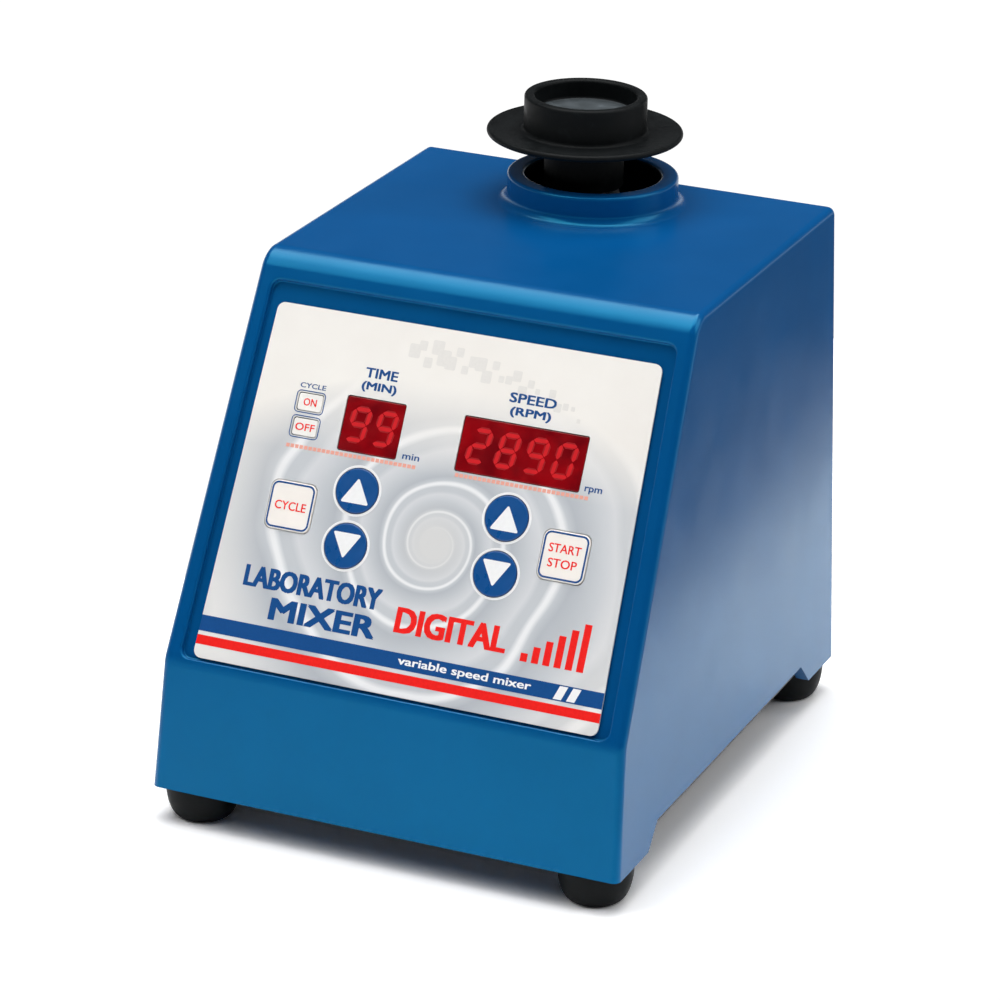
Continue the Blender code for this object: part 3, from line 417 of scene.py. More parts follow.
class Nodes:
    """Short calls for the nodes of a tree."""

    def __init__(self, tree):
        self.tree = tree

    def node(self, kind, settings=(), **inputs):
        """A node with its settings, and its inputs given as links or values."""
        made = self.tree.nodes.new("ShaderNode" + kind)
        for name, value in dict(settings).items():
            setattr(made, name, value)
        for name, value in inputs.items():
            socket = made.inputs[int(name[1:])] if name[0] == "_" else made.inputs[name.replace("_", " ")]
            if isinstance(value, bpy.types.NodeSocket):
                self.tree.links.new(value, socket)
            else:
                socket.default_value = value
        return made

    def math(self, operation, a, b=0.0):
        """One sum."""
        return self.node("Math", {"operation": operation}, _0=a, _1=b).outputs[0]

    def vector(self, operation, a, b=(0, 0, 0), output="Vector"):
        """One sum of vectors."""
        return self.node("VectorMath", {"operation": operation}, _0=a, _1=b).outputs[output]

    def axis(self, point, letter):
        """One coordinate of a point."""
        return self.node("SeparateXYZ", Vector=point).outputs[letter]

    def spread(self, value, low, high, start=0.3, end=0.7):
        """A value moved from the range start to end into the range low to high."""
        return self.node("MapRange", Value=value, From_Min=start, From_Max=end, To_Min=low,
                         To_Max=high).outputs[0]

    def ramp(self, value, stops):
        """Colours along a value, from pairs of place and colour."""
        made = self.node("ValToRGB", Fac=value)
        elements = made.color_ramp.elements
        stops = list(stops)
        while len(elements) < len(stops):
            elements.new(0.5)
        for element, (place, shade) in zip(elements, stops):
            element.position = place
            element.color = shade
        return made.outputs["Color"]

    def mix(self, share, first, second):
        """Two colours mixed by a share."""
        made = self.node("Mix", {"data_type": "RGBA"}, Factor=share, _6=first, _7=second)
        return made.outputs[2]


LOOKS = {}


class Look(Nodes):
    """A material in the making, filed by its name: a Principled shader, and the nodes that feed it."""

    def __init__(self, name, **sockets):
        self.material = LOOKS[name] = bpy.data.materials.new(name)
        self.material.use_nodes = True
        super().__init__(self.material.node_tree)
        self.shader = self.tree.nodes["Principled BSDF"]
        for socket, value in sockets.items():
            self.shader.inputs[socket.replace("_", " ")].default_value = value
        self.point = self.node("TexCoord").outputs["Object"]

    def noise(self, size, detail=2.0, distortion=0.0, stretch=(1, 1, 1)):
        """Noise whose grains are about the given size in metres."""
        point = self.vector("MULTIPLY", self.point, stretch)
        made = self.node("TexNoise", Vector=point, Scale=1 / size, Detail=detail,
                         Distortion=distortion)
        return made.outputs["Fac"]

    def clouds(self, value, shades):
        """Two shades of a colour that blend into each other along a noise."""
        return self.ramp(value, zip((0.3, 0.7), shades))

    def bump(self, height, depth):
        """Relief of the given depth in metres."""
        return self.node("Bump", Height=height, Distance=depth, Strength=1.0).outputs[0]

    def feed(self, *values, **sockets):
        """Link the colour, the roughness, the normal and other values into the shader."""
        for socket, value in (*zip(("Base_Color", "Roughness", "Normal"), values), *sockets.items()):
            self.tree.links.new(value, self.shader.inputs[socket.replace("_", " ")])


def scaled(shade, factor):
    """A colour made darker or lighter."""
    return (*(min(1.0, c * factor) for c in shade[:3]), 1.0)


def tints(shade, change):
    """A colour made a little darker and a little lighter."""
    return scaled(shade, 1 - change), scaled(shade, 1 + change)


def paint_look():
    """Semi-gloss enamel on a casting: slight orange peel, cloudy colour and gloss."""
    look = Look("blue_paint", IOR=1.62, Specular_Tint=(0.05, 0.7, 1.0, 1.0))
    base = look.clouds(look.noise(0.03, 3), tints(colour(3, 75, 132), 0.05))
    peel = look.bump(look.noise(0.0006, 1), 0.0000008)
    rough = look.spread(look.noise(0.012, 3), 0.21, 0.27)
    look.feed(base, rough, peel)


def rubber_look(name, shade):
    """Matt black rubber with a fine moulded grain and a little dust."""
    look = Look(name, Specular_IOR_Level=0.09)
    dust = look.noise(0.004, 5, 0.4)
    base = look.ramp(dust, ((0.35, shade), (0.62, scaled(shade, 1.4)), (0.85, scaled(shade, 3))))
    grain = look.bump(look.noise(0.0004, 2), 0.000006)
    look.feed(base, look.spread(dust, 0.4, 0.6), grain)


def moulded_look(name, shade, rough, grain=0.00045, depth=0.000006, change=0.05, **sockets):
    """Moulded plastic: fine texture, slight clouds in its colour and its gloss."""
    look = Look(name, **sockets)
    base = look.clouds(look.noise(0.006, 3), tints(shade, change))
    gloss = look.spread(look.noise(0.003, 3), rough - 0.05, rough + 0.07)
    look.feed(base, gloss, look.bump(look.noise(grain, 2), depth))


def metal_look(name, shade, rough, stretch=(1, 1, 1), grain=0.0006, change=0.06):
    """Bare or plated metal: brushed or turned marks, and patches of duller plating."""
    look = Look(name, Metallic=1.0)
    marks = look.noise(grain, 4, 0.0, stretch)
    base = look.clouds(look.noise(0.005, 4, 0.6), tints(shade, change))
    look.feed(base, look.spread(marks, rough - 0.06, rough + 0.1), look.bump(marks, 0.000006))


def film_look():
    """The printed film: off-white, with a pale grey whirl that fades at the top."""
    look = Look("overlay_film", Specular_IOR_Level=0.4)
    wobble = look.noise(0.03, 1)
    centred = look.vector("SUBTRACT", look.point, (*VORTEX_CENTRE, 0))
    flat = look.vector("MULTIPLY", centred, (1, 1, 0))
    across, up = look.axis(flat, "X"), look.axis(flat, "Y")
    radius = look.vector("LENGTH", flat, output="Value")
    angle = look.math("ARCTAN2", up, across)
    reach = look.math("DIVIDE", look.math("ADD", radius, 0.0012), VORTEX_START)
    turns = look.math("DIVIDE", look.math("LOGARITHM", reach, math.e), math.log(VORTEX_GROWTH))
    phase = look.math("ADD", look.math("MULTIPLY", angle, 0.5 / math.pi), turns)
    phase = look.math("ADD", phase, look.math("MULTIPLY", wobble, 0.5))
    ridge, shade = colour(238, 239, 240), colour(182, 187, 193)
    middle, pale = colour(198, 202, 206), colour(214, 216, 219)
    whirl = look.ramp(look.math("FRACT", phase),
                      ((0.0, ridge), (0.04, ridge), (0.10, middle), (0.20, shade), (0.45, middle),
                       (0.70, pale), (0.80, middle), (0.93, middle), (1.0, ridge)))
    core = look.spread(radius, 1.0, 0.0, 0.0035, 0.0105)
    whirl = look.mix(core, whirl, colour(216, 216, 215))
    paper = look.clouds(look.noise(0.02, 3), (colour(240, 236, 230), colour(244, 241, 235)))
    far = look.spread(radius, 0.0, 0.75, 0.044, 0.066)
    high = look.spread(up, 0.0, 1.0, 0.016, 0.038)
    clear = look.math("MINIMUM", look.math("ADD", high, far), 1.0)
    base = look.mix(clear, whirl, paper)
    emboss = look.bump(look.noise(0.0005, 2), 0.000003)
    look.feed(base, look.spread(look.noise(0.008, 2), 0.32, 0.40), emboss)


def ink_look(name, shade, change=0.05):
    """Screen-printed ink: slightly uneven cover."""
    look = Look(name, Specular_IOR_Level=0.4)
    cover = look.noise(0.0007, 4)
    base = look.clouds(cover, tints(shade, change))
    look.feed(base, look.spread(cover, 0.32, 0.44), look.bump(cover, 0.000003))


def filter_look():
    """The dark red filter over the digits, lit unevenly from behind."""
    look = Look("red_filter", Specular_IOR_Level=0.5, Emission_Strength=0.5)
    glow = look.noise(0.008, 2, 0.5)
    base = look.clouds(glow, (colour(92, 1, 6), colour(118, 2, 8)))
    lit = look.clouds(glow, (colour(84, 0, 8), colour(136, 0, 8)))
    look.feed(base, look.spread(look.noise(0.004, 3), 0.1, 0.2), Emission_Color=lit)


def glowing_look(name, unlit, lit, strength):
    """A lit surface, a little uneven."""
    look = Look(name, Roughness=0.35, Base_Color=unlit, Emission_Strength=strength)
    look.feed(Emission_Color=look.clouds(look.noise(0.002, 3), tints(lit, 0.1)))


def board_look():
    """A circuit board: green lacquer over copper tracks."""
    look = Look("circuit_board", Specular_IOR_Level=0.5)
    bricks = look.node("TexBrick", Vector=look.point, Scale=1.0, Color1=colour(10, 92, 50),
                       Color2=colour(8, 80, 44), Mortar=colour(34, 122, 72), Mortar_Size=0.0004,
                       Brick_Width=0.006, Row_Height=0.0022)
    base = look.mix(look.spread(look.noise(0.004, 3), 0.0, 0.4), bricks.outputs["Color"], colour(6, 70, 38))
    rough = look.spread(look.noise(0.002, 3), 0.3, 0.45)
    look.feed(base, rough, look.bump(bricks.outputs["Fac"], 0.00002))


def cable_look():
    """Flat grey ribbon cable: a row of wires side by side, one of them red."""
    look = Look("grey_cable", Roughness=0.55)
    across = look.axis(look.point, "X")
    wires = look.math("PINGPONG", across, 0.00064)
    base = look.clouds(look.noise(0.003, 3), (colour(176, 177, 180), colour(194, 195, 198)))
    first = look.math("LESS_THAN", across, 0.0203)
    base = look.mix(first, base, colour(170, 20, 24))
    look.feed(base, Normal=look.bump(wires, 0.3))


def winding_look():
    """The armature: copper wire wound over a laminated core."""
    look = Look("copper", Metallic=1.0)
    wire = look.math("PINGPONG", look.axis(look.point, "Z"), 0.0003)
    base = look.clouds(look.noise(0.002, 3), (colour(196, 118, 72), colour(222, 142, 92)))
    look.feed(base, look.spread(look.noise(0.001, 2), 0.3, 0.45), look.bump(wire, 0.5))


def make_looks():
    """Every material, named after the record's slot or after the ink."""
    black = colour(30, 31, 33)
    paint_look()
    rubber_look("rubber", (0.0035, 0.0044, 0.0048, 1.0))
    # A lighter grey rubber for the cup's dished floor.
    rubber_look("lighter_floor_rubber", (0.045, 0.053, 0.058, 1.0))
    # Painted shade: the near-black bluish colour inside the collar's bore stands in for the shade deep in the
    # bore.
    metal_look("painted_shade_bore", (0.006, 0.018, 0.034, 1), 0.5)
    film_look()
    filter_look()
    glowing_look("lit_segment", colour(128, 4, 10), colour(232, 10, 26), 0.5)
    glowing_look("segment_glow", colour(116, 2, 8), colour(160, 0, 10), 0.45)
    moulded_look("light_guide", colour(246, 243, 238), 0.25, change=0.02)
    moulded_look("blue_key", colour(0, 74, 138), 0.3)
    moulded_look("white_key", colour(247, 241, 234), 0.32, change=0.02)
    ink_look("blue_ink", colour(0, 72, 136))
    ink_look("red_ink", colour(240, 24, 18))
    ink_look("faint_red_ink", colour(238, 168, 150))
    ink_look("white_ink", colour(243, 243, 243), 0.02)
    ink_look("grey_ink", colour(230, 227, 222), 0.02)
    board_look()
    moulded_look("display_module", colour(78, 78, 80), 0.5)
    moulded_look("black_plastic", black, 0.42, depth=0.00001)
    # The base plate's near-black colour paints the shade seen in the slit under the side walls.
    moulded_look("black_steel", black, 0.38, depth=0.000003)
    metal_look("plated_steel", (0.62, 0.62, 0.60, 1), 0.34, (1, 0.1, 1))
    metal_look("bright_steel", (0.70, 0.70, 0.71, 1), 0.2, (0.1, 0.1, 1), change=0.03)
    metal_look("aluminium", (0.76, 0.77, 0.78, 1), 0.34, (0.1, 0.1, 1))
    metal_look("brass", (0.80, 0.65, 0.30, 1), 0.28, (1, 0.1, 1))
    winding_look()
    cable_look()


make_looks()


# Housing
def half_width(z):
    """Half the housing's outer width at height z."""
    return (BOTTOM_WIDTH - (BOTTOM_WIDTH - TOP_WIDTH) * (z - BOTTOM_Z) / (TOP_Z - BOTTOM_Z)) / 2


def tapered_block(profile, side_wall):
    """A block with the given side profile of (y, z), narrowing towards the top."""
    return between([(side_wall - half_width(z), y, z) for y, z in profile],
                   [(half_width(z) - side_wall, y, z) for y, z in profile])


def round_edges(bm):
    """Round the top front edge widely, then the other edges above the open bottom."""
    edges = [e for e in bm.edges
             if all(abs(v.co.z - TOP_Z) + abs(v.co.y - TOP_FRONT_Y) < 1e-6 for v in e.verts)]
    reach = TOP_FRONT_RADIUS * math.tan(SLOPE / 2)
    bmesh.ops.bevel(bm, geom=edges, offset=reach, segments=14, profile=0.5, affect="EDGES")
    edges = []
    for edge in bm.edges:
        above = max(v.co.z for v in edge.verts) > BOTTOM_Z + 1e-4
        side = any(abs(face.normal.x) > 0.9 for face in edge.link_faces)
        sharp = edge.calc_face_angle(0) > math.radians(20)
        if above and (side or sharp):
            edges.append(edge)
    bmesh.ops.bevel(bm, geom=edges, offset=EDGE_RADIUS, segments=6, profile=0.5, affect="EDGES")


def trapezium(half, low, high):
    """Corners between two heights, where half gives half the width at a height."""
    return [(side * half(y), y) for side, y in ((-1, low), (1, low), (1, high), (-1, high))]


def pocket_half(y):
    """Half the pocket's width at a height up the slope."""
    return half_width((PANEL @ Vector((0, y, FACE_ABOVE_FILM))).z) - POCKET_FLANGE


def pocket():
    """The pocket's space, with a rounded foot inside and a rounded rim."""
    corners = trapezium(pocket_half, -POCKET_MARGIN, POCKET_LENGTH - POCKET_MARGIN)
    sections = []
    for k in range(6):
        angle = math.pi / 2 * k / 5
        sections.append(ring(corners, POCKET_CORNER, POCKET_FOOT * (1 - math.sin(angle)),
                             -POCKET_BELOW_FILM + POCKET_FOOT * (1 - math.cos(angle))))
    for k in range(6):
        angle = math.radians(84) * k / 5
        sections.append(ring(corners, POCKET_CORNER, -POCKET_RIM * (1 - math.cos(angle)),
                             FACE_ABOVE_FILM - POCKET_RIM * (1 - math.sin(angle))))
    return loft(sections + [(sections[-1][0], FACE_ABOVE_FILM + 0.003)])


def keys():
    """Name, centre and half size of each key."""
    for name in ("time_up", "time_down", "speed_up", "speed_down", "interval", "start_stop"):
        x, y, width, _ = panel_box(f"{name}_key")
        yield name, x, y, width / 2


def key_outline(name, x, y, half):
    """Round for the up and down keys, square with rounded corners for the others."""
    if name.endswith(("up", "down")):
        return circle(half, 96, x, y)
    return rounded(rectangle(2 * half, 2 * half, x, y), KEY_CORNER)


def window_outline(node, grow=0.0):
    """Outline of a display window or a light guide."""
    x, y, width, height = panel_box(node)
    return rounded(rectangle(width + 2 * grow, height + 2 * grow, x, y), WINDOW_CORNER, 4)


def collar_profile():
    """The collar: a foot fillet that runs out into the top face, and a rounded rim."""
    reach = COLLAR_RADIUS + COLLAR_FILLET
    profile = [(0, TOP_Z - 0.001), (reach, TOP_Z - 0.001)]
    profile += arc(reach, TOP_Z + COLLAR_FILLET, COLLAR_FILLET, 270, 180, 12)
    profile += arc(COLLAR_RADIUS - COLLAR_EDGE, COLLAR_TOP - COLLAR_EDGE, COLLAR_EDGE, 0, 90, 6)
    return profile + [(0, COLLAR_TOP)]


def bore_profile():
    """The space inside the collar, with a rounded mouth."""
    profile = [(0, TOP_Z - 0.009), (COLLAR_BORE, TOP_Z - 0.009)]
    profile += arc(COLLAR_BORE + COLLAR_EDGE, COLLAR_TOP - COLLAR_EDGE, COLLAR_EDGE, 180, 96, 6)
    return profile + [(COLLAR_BORE + COLLAR_EDGE, COLLAR_TOP + 0.001), (0, COLLAR_TOP + 0.001)]


def post(node, radius, bottom, top):
    """A round post inside the housing, in line with a node."""
    middle = middle_of(node)
    return turned([(0, bottom), (radius, bottom), (radius, top), (0, top)], 32, x=middle.x, y=middle.y)


def side_notch(side):
    """What is cut from the lower edge of a side wall, between the feet."""
    bottom = BOTTOM_Z - 0.001
    foot = NOTCH_HALF + NOTCH_TOP - bottom
    corners = [(-foot, bottom), (foot, bottom), (NOTCH_HALF, NOTCH_TOP), (-NOTCH_HALF, NOTCH_TOP)]
    inner, outer = BOTTOM_WIDTH / 2 - WALL - 0.002, BOTTOM_WIDTH / 2 + 0.002
    return between([(side * inner, y, z) for y, z in corners], [(side * outer, y, z) for y, z in corners])


def build_housing():
    """The painted casting, hollow, with its collar, pocket and openings."""
    outline = [(FRONT_Y, BOTTOM_Z), (BACK_Y, BOTTOM_Z), (TOP_BACK_Y, TOP_Z), (TOP_FRONT_Y, TOP_Z),
               (BREAK_Y, BREAK_Z)]
    bm = tapered_block(outline, 0.0)
    round_edges(bm)
    shell = piece("housing", bm, ["blue_paint"], stands_for=["housing_shell"])
    shell.modifiers.clear()
    combine(shell, tapered_block(inset(outline, (-WALL, WALL, WALL, PANEL_WALL, WALL)), WALL))
    for sign in (-1, 1):
        combine(shell, side_notch(sign))

    axis = middle_of("motor_shaft")
    collar = turned(collar_profile(), 128, x=axis.x, y=axis.y)
    combine(shell, collar, "UNION")
    combine(shell, turned(bore_profile(), 128, x=axis.x, y=axis.y))
    for side in ("left", "right", "front"):
        isolator = f"motor_isolator_{side}"
        combine(shell, post(isolator, 0.004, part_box(isolator)[1].z + GAP, TOP_Z - WALL / 2), "UNION")
    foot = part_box("base_plate")[0].z + 0.002 + GAP
    for corner in CORNERS:
        screw = f"foot_screw_{corner}"
        combine(shell, post(screw, 0.0066, foot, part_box(screw)[1].z + 0.0064), "UNION")

    combine(shell, pocket(), place=PANEL)
    openings = bmesh.new()
    for node in WINDOWS + GUIDES:
        plate(window_outline(node, GAP), -0.0062, 0.0018, bm=openings)
    for name, x, y, half in keys():
        plate(key_outline(name, x, y, half + 0.0009), -0.0062, 0.0018, bm=openings)
    combine(shell, openings, place=PANEL)
    rear = bmesh.new()
    for node, margin in (("power_inlet", 0.0017), ("power_switch_body", 0.00085)):
        x, width, height = rear_box(node)
        plate(rectangle(width - 2 * margin, height - 2 * margin, x), -0.01, 0.002, bm=rear)
    combine(shell, rear, place=REAR)
    # The faces inside the collar's bore get the near-black look, painted shade deep in the bore.
    shell.data.materials.append(LOOKS["painted_shade_bore"])
    for face in shell.data.polygons:
        corners = [shell.data.vertices[i].co for i in face.vertices]
        inside = all((corner - axis).to_2d().length < COLLAR_BORE + 0.0001 for corner in corners)
        if inside and face.center.z > TOP_Z - 0.009:
            face.material_index = 1
    smooth(shell, 30)


def rear_box(node):
    """Centre, width and height of a piece's flange in the rear frame."""
    low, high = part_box(node)
    return -(low.x + high.x) / 2, high.x - low.x, high.z - low.z


# Panel
def film_corners():
    """Corners of the film, which narrows towards the top."""
    points = panel_points("panel_overlay")
    length = max(p.y for p in points)
    bottom_half = max(p.x for p in points if p.y < 0.2 * length)
    top_half = max(p.x for p in points if p.y > 0.9 * length)
    top_half += bottom_half - max(p.x for p in points)
    return [(-bottom_half, 0), (bottom_half, 0), (top_half, length), (-top_half, length)]


def film_half(y):
    """Half the film's width at a height up the slope."""
    (_, _), (bottom, low), (top, high), _ = film_corners()
    return bottom + (top - bottom) * (y - low) / (high - low)


def triangle(width, height, up):
    """An arrow head with slightly rounded corners."""
    sign = 1 if up else -1
    corners = [(-sign * width / 2, -sign * height / 2), (sign * width / 2, -sign * height / 2),
               (0, sign * height / 2)]
    return rounded(corners, 0.0003, 4)


def build_film():
    """The film with its holes, and the inks printed on it."""
    holes = [window_outline(node, CLEARANCE) for node in WINDOWS + GUIDES]
    holes += [key_outline(name, x, y, half + CLEARANCE) for name, x, y, half in keys()]
    film = plate(rounded(film_corners(), FILM_CORNER), -FILM_THICKNESS, 0, holes)
    piece("overlay", film, ["overlay_film"], place=PANEL, stands_for=["panel_overlay"])
    for ink, bm in (("blue_ink", blue_print()), ("red_ink", red_print()), ("white_ink", white_print()),
                    ("faint_red_ink", faint_red_print()), ("grey_ink", grey_print())):
        name = ink.replace("ink", "print")
        piece(name, bm, [ink], place=PANEL)


def label(text, width, height, x, y, bm, bold=0.03):
    """A printed word on the film."""
    return written(text, width, height, x, y, 0, INK, bm, bold)


def blue_print():
    """Blue ink: headings, outlines, the title and the broad band."""
    bm = bmesh.new()
    time_x, _, _, _ = panel_box("time_display_window")
    speed_x, _, _, _ = panel_box("speed_display_window")
    label("TIME", 0.0084, 0.0023, time_x - 0.0002, 0.0759, bm, 0.05)
    label("(MIN)", 0.0090, 0.0025, time_x - 0.0002, 0.0724, bm, 0.05)
    label("SPEED", 0.0120, 0.0023, speed_x + 0.0002, 0.0759, bm, 0.05)
    label("(RPM)", 0.0104, 0.0025, speed_x + 0.0002, 0.0724, bm, 0.05)
    label("min", 0.0044, 0.0015, -0.0078, 0.0574, bm)
    label("rpm", 0.0044, 0.0017, 0.0398, 0.0570, bm)
    for node in GUIDES:
        x, y, width, height = panel_box(node)
        outer = rounded(rectangle(width + 0.0014, height + 0.0014, x, y), 0.0011, 4)
        plate(outer, 0, INK, [rounded(rectangle(width + 0.0009, height + 0.0009, x, y), 0.0008, 4)], bm)
    x, y, width, height = panel_box(GUIDES[0])
    label("CYCLE", 0.0068, 0.0012, x, y + height / 2 + 0.0019, bm)
    label("LABORATORY", 0.0360, 0.0050, -0.0259, 0.0221, bm, 0.06)
    label("MIXER", 0.0276, 0.0050, -0.0217, 0.0151, bm, 0.075)
    plate(trapezium(film_half, 0.0066, 0.0105), 0, INK, bm=bm)
    return bm


def red_print():
    """Red ink: the second word, a level sign and the narrow band."""
    bm = bmesh.new()
    label("DIGITAL", 0.0284, 0.0060, 0.0116, 0.0183, bm, 0.06)
    for k in range(6):
        height = 0.0020 + 0.0019 * k
        plate(rectangle(0.0018, height, 0.0312 + 0.0029 * k, 0.0142 + height / 2), 0, INK, bm=bm)
    plate(trapezium(film_half, 0.0033, 0.0056), 0, INK, bm=bm)
    return bm


def white_print():
    """White ink: rings round the round keys, and the words and strokes on the blue band."""
    bm = bmesh.new()
    for name, x, y, half in keys():
        if name.endswith(("up", "down")):
            plate(circle(half + 0.0008, 96, x, y), 0, INK, [circle(half + CLEARANCE, 96, x, y)], bm)
    written("variable speed mixer", 0.0345, 0.0025, 0.0172, 0.0085, 0, 2 * INK, bm, 0.035)
    for k in range(2):
        x = 0.0405 + 0.0034 * k
        slanted = [(x, 0.0069), (x + 0.0021, 0.0069), (x + 0.0033, 0.0102), (x + 0.0012, 0.0102)]
        plate(slanted, 0, 2 * INK, bm=bm)
    return bm


def faint_red_print():
    """Pale red ink: the row of short dashes under each display."""
    bm = bmesh.new()
    for start, end in ((-0.0408, -0.0070), (0.0042, 0.0384)):
        step, x = 0.0012, start
        while x < end:
            plate(rectangle(step * 0.78, 0.0009, x + step / 2, 0.0551), 0, INK, bm=bm)
            x += step
    return bm


def grey_print():
    """Very pale grey ink: small squares scattered along an arc at the top of the film."""
    bm = bmesh.new()
    for k in range(24):
        share = k / 23
        size = (0.0030 - 0.0018 * share) * (1 + 0.3 * math.sin(5.1 * k))
        x = -0.0125 + 0.0450 * share
        y = 0.0830 - 0.0090 * share ** 2 + 0.0024 * (1 - 0.5 * share) * math.sin(2.4 * k)
        shape = rounded(rectangle(size, size * 1.15, x, y), size * 0.15, 3)
        plate(shape, 0, INK * (0.3 + 0.025 * k), bm=bm)
    return bm


# Displays
SEGMENTS = {"0": "abcdef", "2": "abdeg", "8": "abcdefg", "9": "abcdfg"}
DIGIT_WIDTH = 0.0050
DIGIT_HEIGHT = 0.0086
DIGIT_BAR = 0.00095
GLOW_MARGIN = 0.0007            # how much wider the glow is than the bars


def segment_outlines(digit, x, y, grow):
    """The bars of one seven-segment digit, leaning to the right and widened all round."""
    half_w, half_h = (DIGIT_WIDTH - DIGIT_BAR) / 2, (DIGIT_HEIGHT - DIGIT_BAR) / 2
    thick = DIGIT_BAR + grow
    gap = thick * 0.12
    places = {"a": (0, half_h, 0), "g": (0, 0, 0), "d": (0, -half_h, 0), "f": (-half_w, half_h / 2, 1),
              "b": (half_w, half_h / 2, 1), "e": (-half_w, -half_h / 2, 1), "c": (half_w, -half_h / 2, 1)}
    outlines = []
    for bar in SEGMENTS[digit]:
        cx, cy, upright = places[bar]
        reach = (half_h / 2 if upright else half_w) - gap
        end = thick / 2
        shape = [(-reach, 0), (-reach + end, -end), (reach - end, -end), (reach, 0), (reach - end, end),
                 (-reach + end, end)]
        if upright:
            shape = [(-v, u) for u, v in shape]
        lean = math.tan(math.radians(8))
        outlines.append([(x + cx + u + (cy + v) * lean, y + cy + v) for u, v in shape])
    return outlines


def build_displays():
    """The two red windows with their lit digits."""
    for node, digits in zip(WINDOWS, ("99", "2890")):
        x, y, width, height = panel_box(node)
        bm = softened(rectangle(width, height, x, y), WINDOW_CORNER, -0.0017, -0.0001, 0.0002)
        piece(node.replace("_window", "_filter"), bm, ["red_filter"], place=PANEL, stands_for=[node])
        pitch = width * 0.92 / len(digits)
        stem = node.replace("_window", "")
        for kind, look, grow, top in (("digits", "lit_segment", 0, -0.00006),
                                      ("glow", "segment_glow", GLOW_MARGIN, -0.00008)):
            bm = bmesh.new()
            for k, digit in enumerate(digits):
                centre = x + (k - (len(digits) - 1) / 2) * pitch
                for outline in segment_outlines(digit, centre, y, grow):
                    plate(outline, -0.0001, top, bm=bm)
            piece(f"{stem}_{kind}", bm, [look], place=PANEL)


def build_guides():
    """The two lit labels beside the time display."""
    for node, text in zip(GUIDES, ("ON", "OFF")):
        x, y, width, height = panel_box(node)
        bm = softened(rectangle(width, height, x, y), WINDOW_CORNER, -GUIDE_DEPTH, -0.0001, 0.0002)
        piece(node, bm, ["light_guide"], place=PANEL, stands_for=[node])
        word = written(text, 0.0017 * len(text), 0.0018, x, y, -0.0001, -0.0001 + INK)
        piece(f"{node}_word", word, ["red_ink"], place=PANEL)


# Keys
def round_key(half):
    """A round cap with a soft edge, its flange and its stem."""
    flange = half + 0.0006
    profile = [(0, KEY_STEM_END), (0.0016, KEY_STEM_END), (0.0016, FLANGE_BACK), (flange, FLANGE_BACK),
               (flange, FLANGE_FRONT), (half, FLANGE_FRONT)]
    profile += arc(half - KEY_EDGE, KEY_TOP - KEY_EDGE, KEY_EDGE, 0, 90, 6)
    return turned(profile + [(0, KEY_TOP)], 96)


def square_key(half):
    """A square cap with a soft edge, its flange and its stem."""
    stem = rounded(rectangle(0.0032, 0.0032), 0.0008)
    flange = rounded(rectangle(2 * half + 0.001, 2 * half + 0.001), KEY_CORNER)
    corners = rectangle(2 * half, 2 * half)
    sections = [(stem, KEY_STEM_END), (stem, FLANGE_BACK), (flange, FLANGE_BACK), (flange, FLANGE_FRONT),
                (rounded(corners, KEY_CORNER), FLANGE_FRONT)]
    return loft(sections + soft_edge(corners, KEY_CORNER, KEY_TOP, KEY_EDGE, 6))


def build_keys():
    """The six keys, each with what is printed on it."""
    for name, x, y, half in keys():
        place = PANEL @ Matrix.Translation((x, y, 0))
        body = f"{name}_button"
        printed = {}
        if name.endswith(("up", "down")):
            cap, slot = round_key(half), "blue_key"
            printed["white_ink"] = plate(triangle(0.0075, 0.0063, name.endswith("up")), KEY_TOP,
                                         KEY_TOP + INK)
        else:
            cap, slot = square_key(half), "white_key"
            outer = rounded(rectangle(2 * half - 0.0006, 2 * half - 0.0006), 0.0017)
            inner = rounded(rectangle(2 * half - 0.0015, 2 * half - 0.0015), 0.0013)
            printed["blue_ink"] = plate(outer, KEY_TOP, KEY_TOP + INK, [inner])
            printed["red_ink"] = key_word(name)
        piece(f"{name}_cap", cap, [slot], body, place, [f"{name}_key"])
        for ink, bm in printed.items():
            piece(f"{name}_{ink.split('_')[0]}_mark", bm, [ink], body, place)


def key_word(name):
    """The red words on a square key."""
    if name == "interval":
        return written("CYCLE", 0.0082, 0.0021, 0, 0, KEY_TOP, KEY_TOP + INK)
    bm = written("START", 0.0082, 0.0021, 0, 0.0018, KEY_TOP, KEY_TOP + INK)
    return written("STOP", 0.0074, 0.0021, 0, -0.0018, KEY_TOP, KEY_TOP + INK, bm)


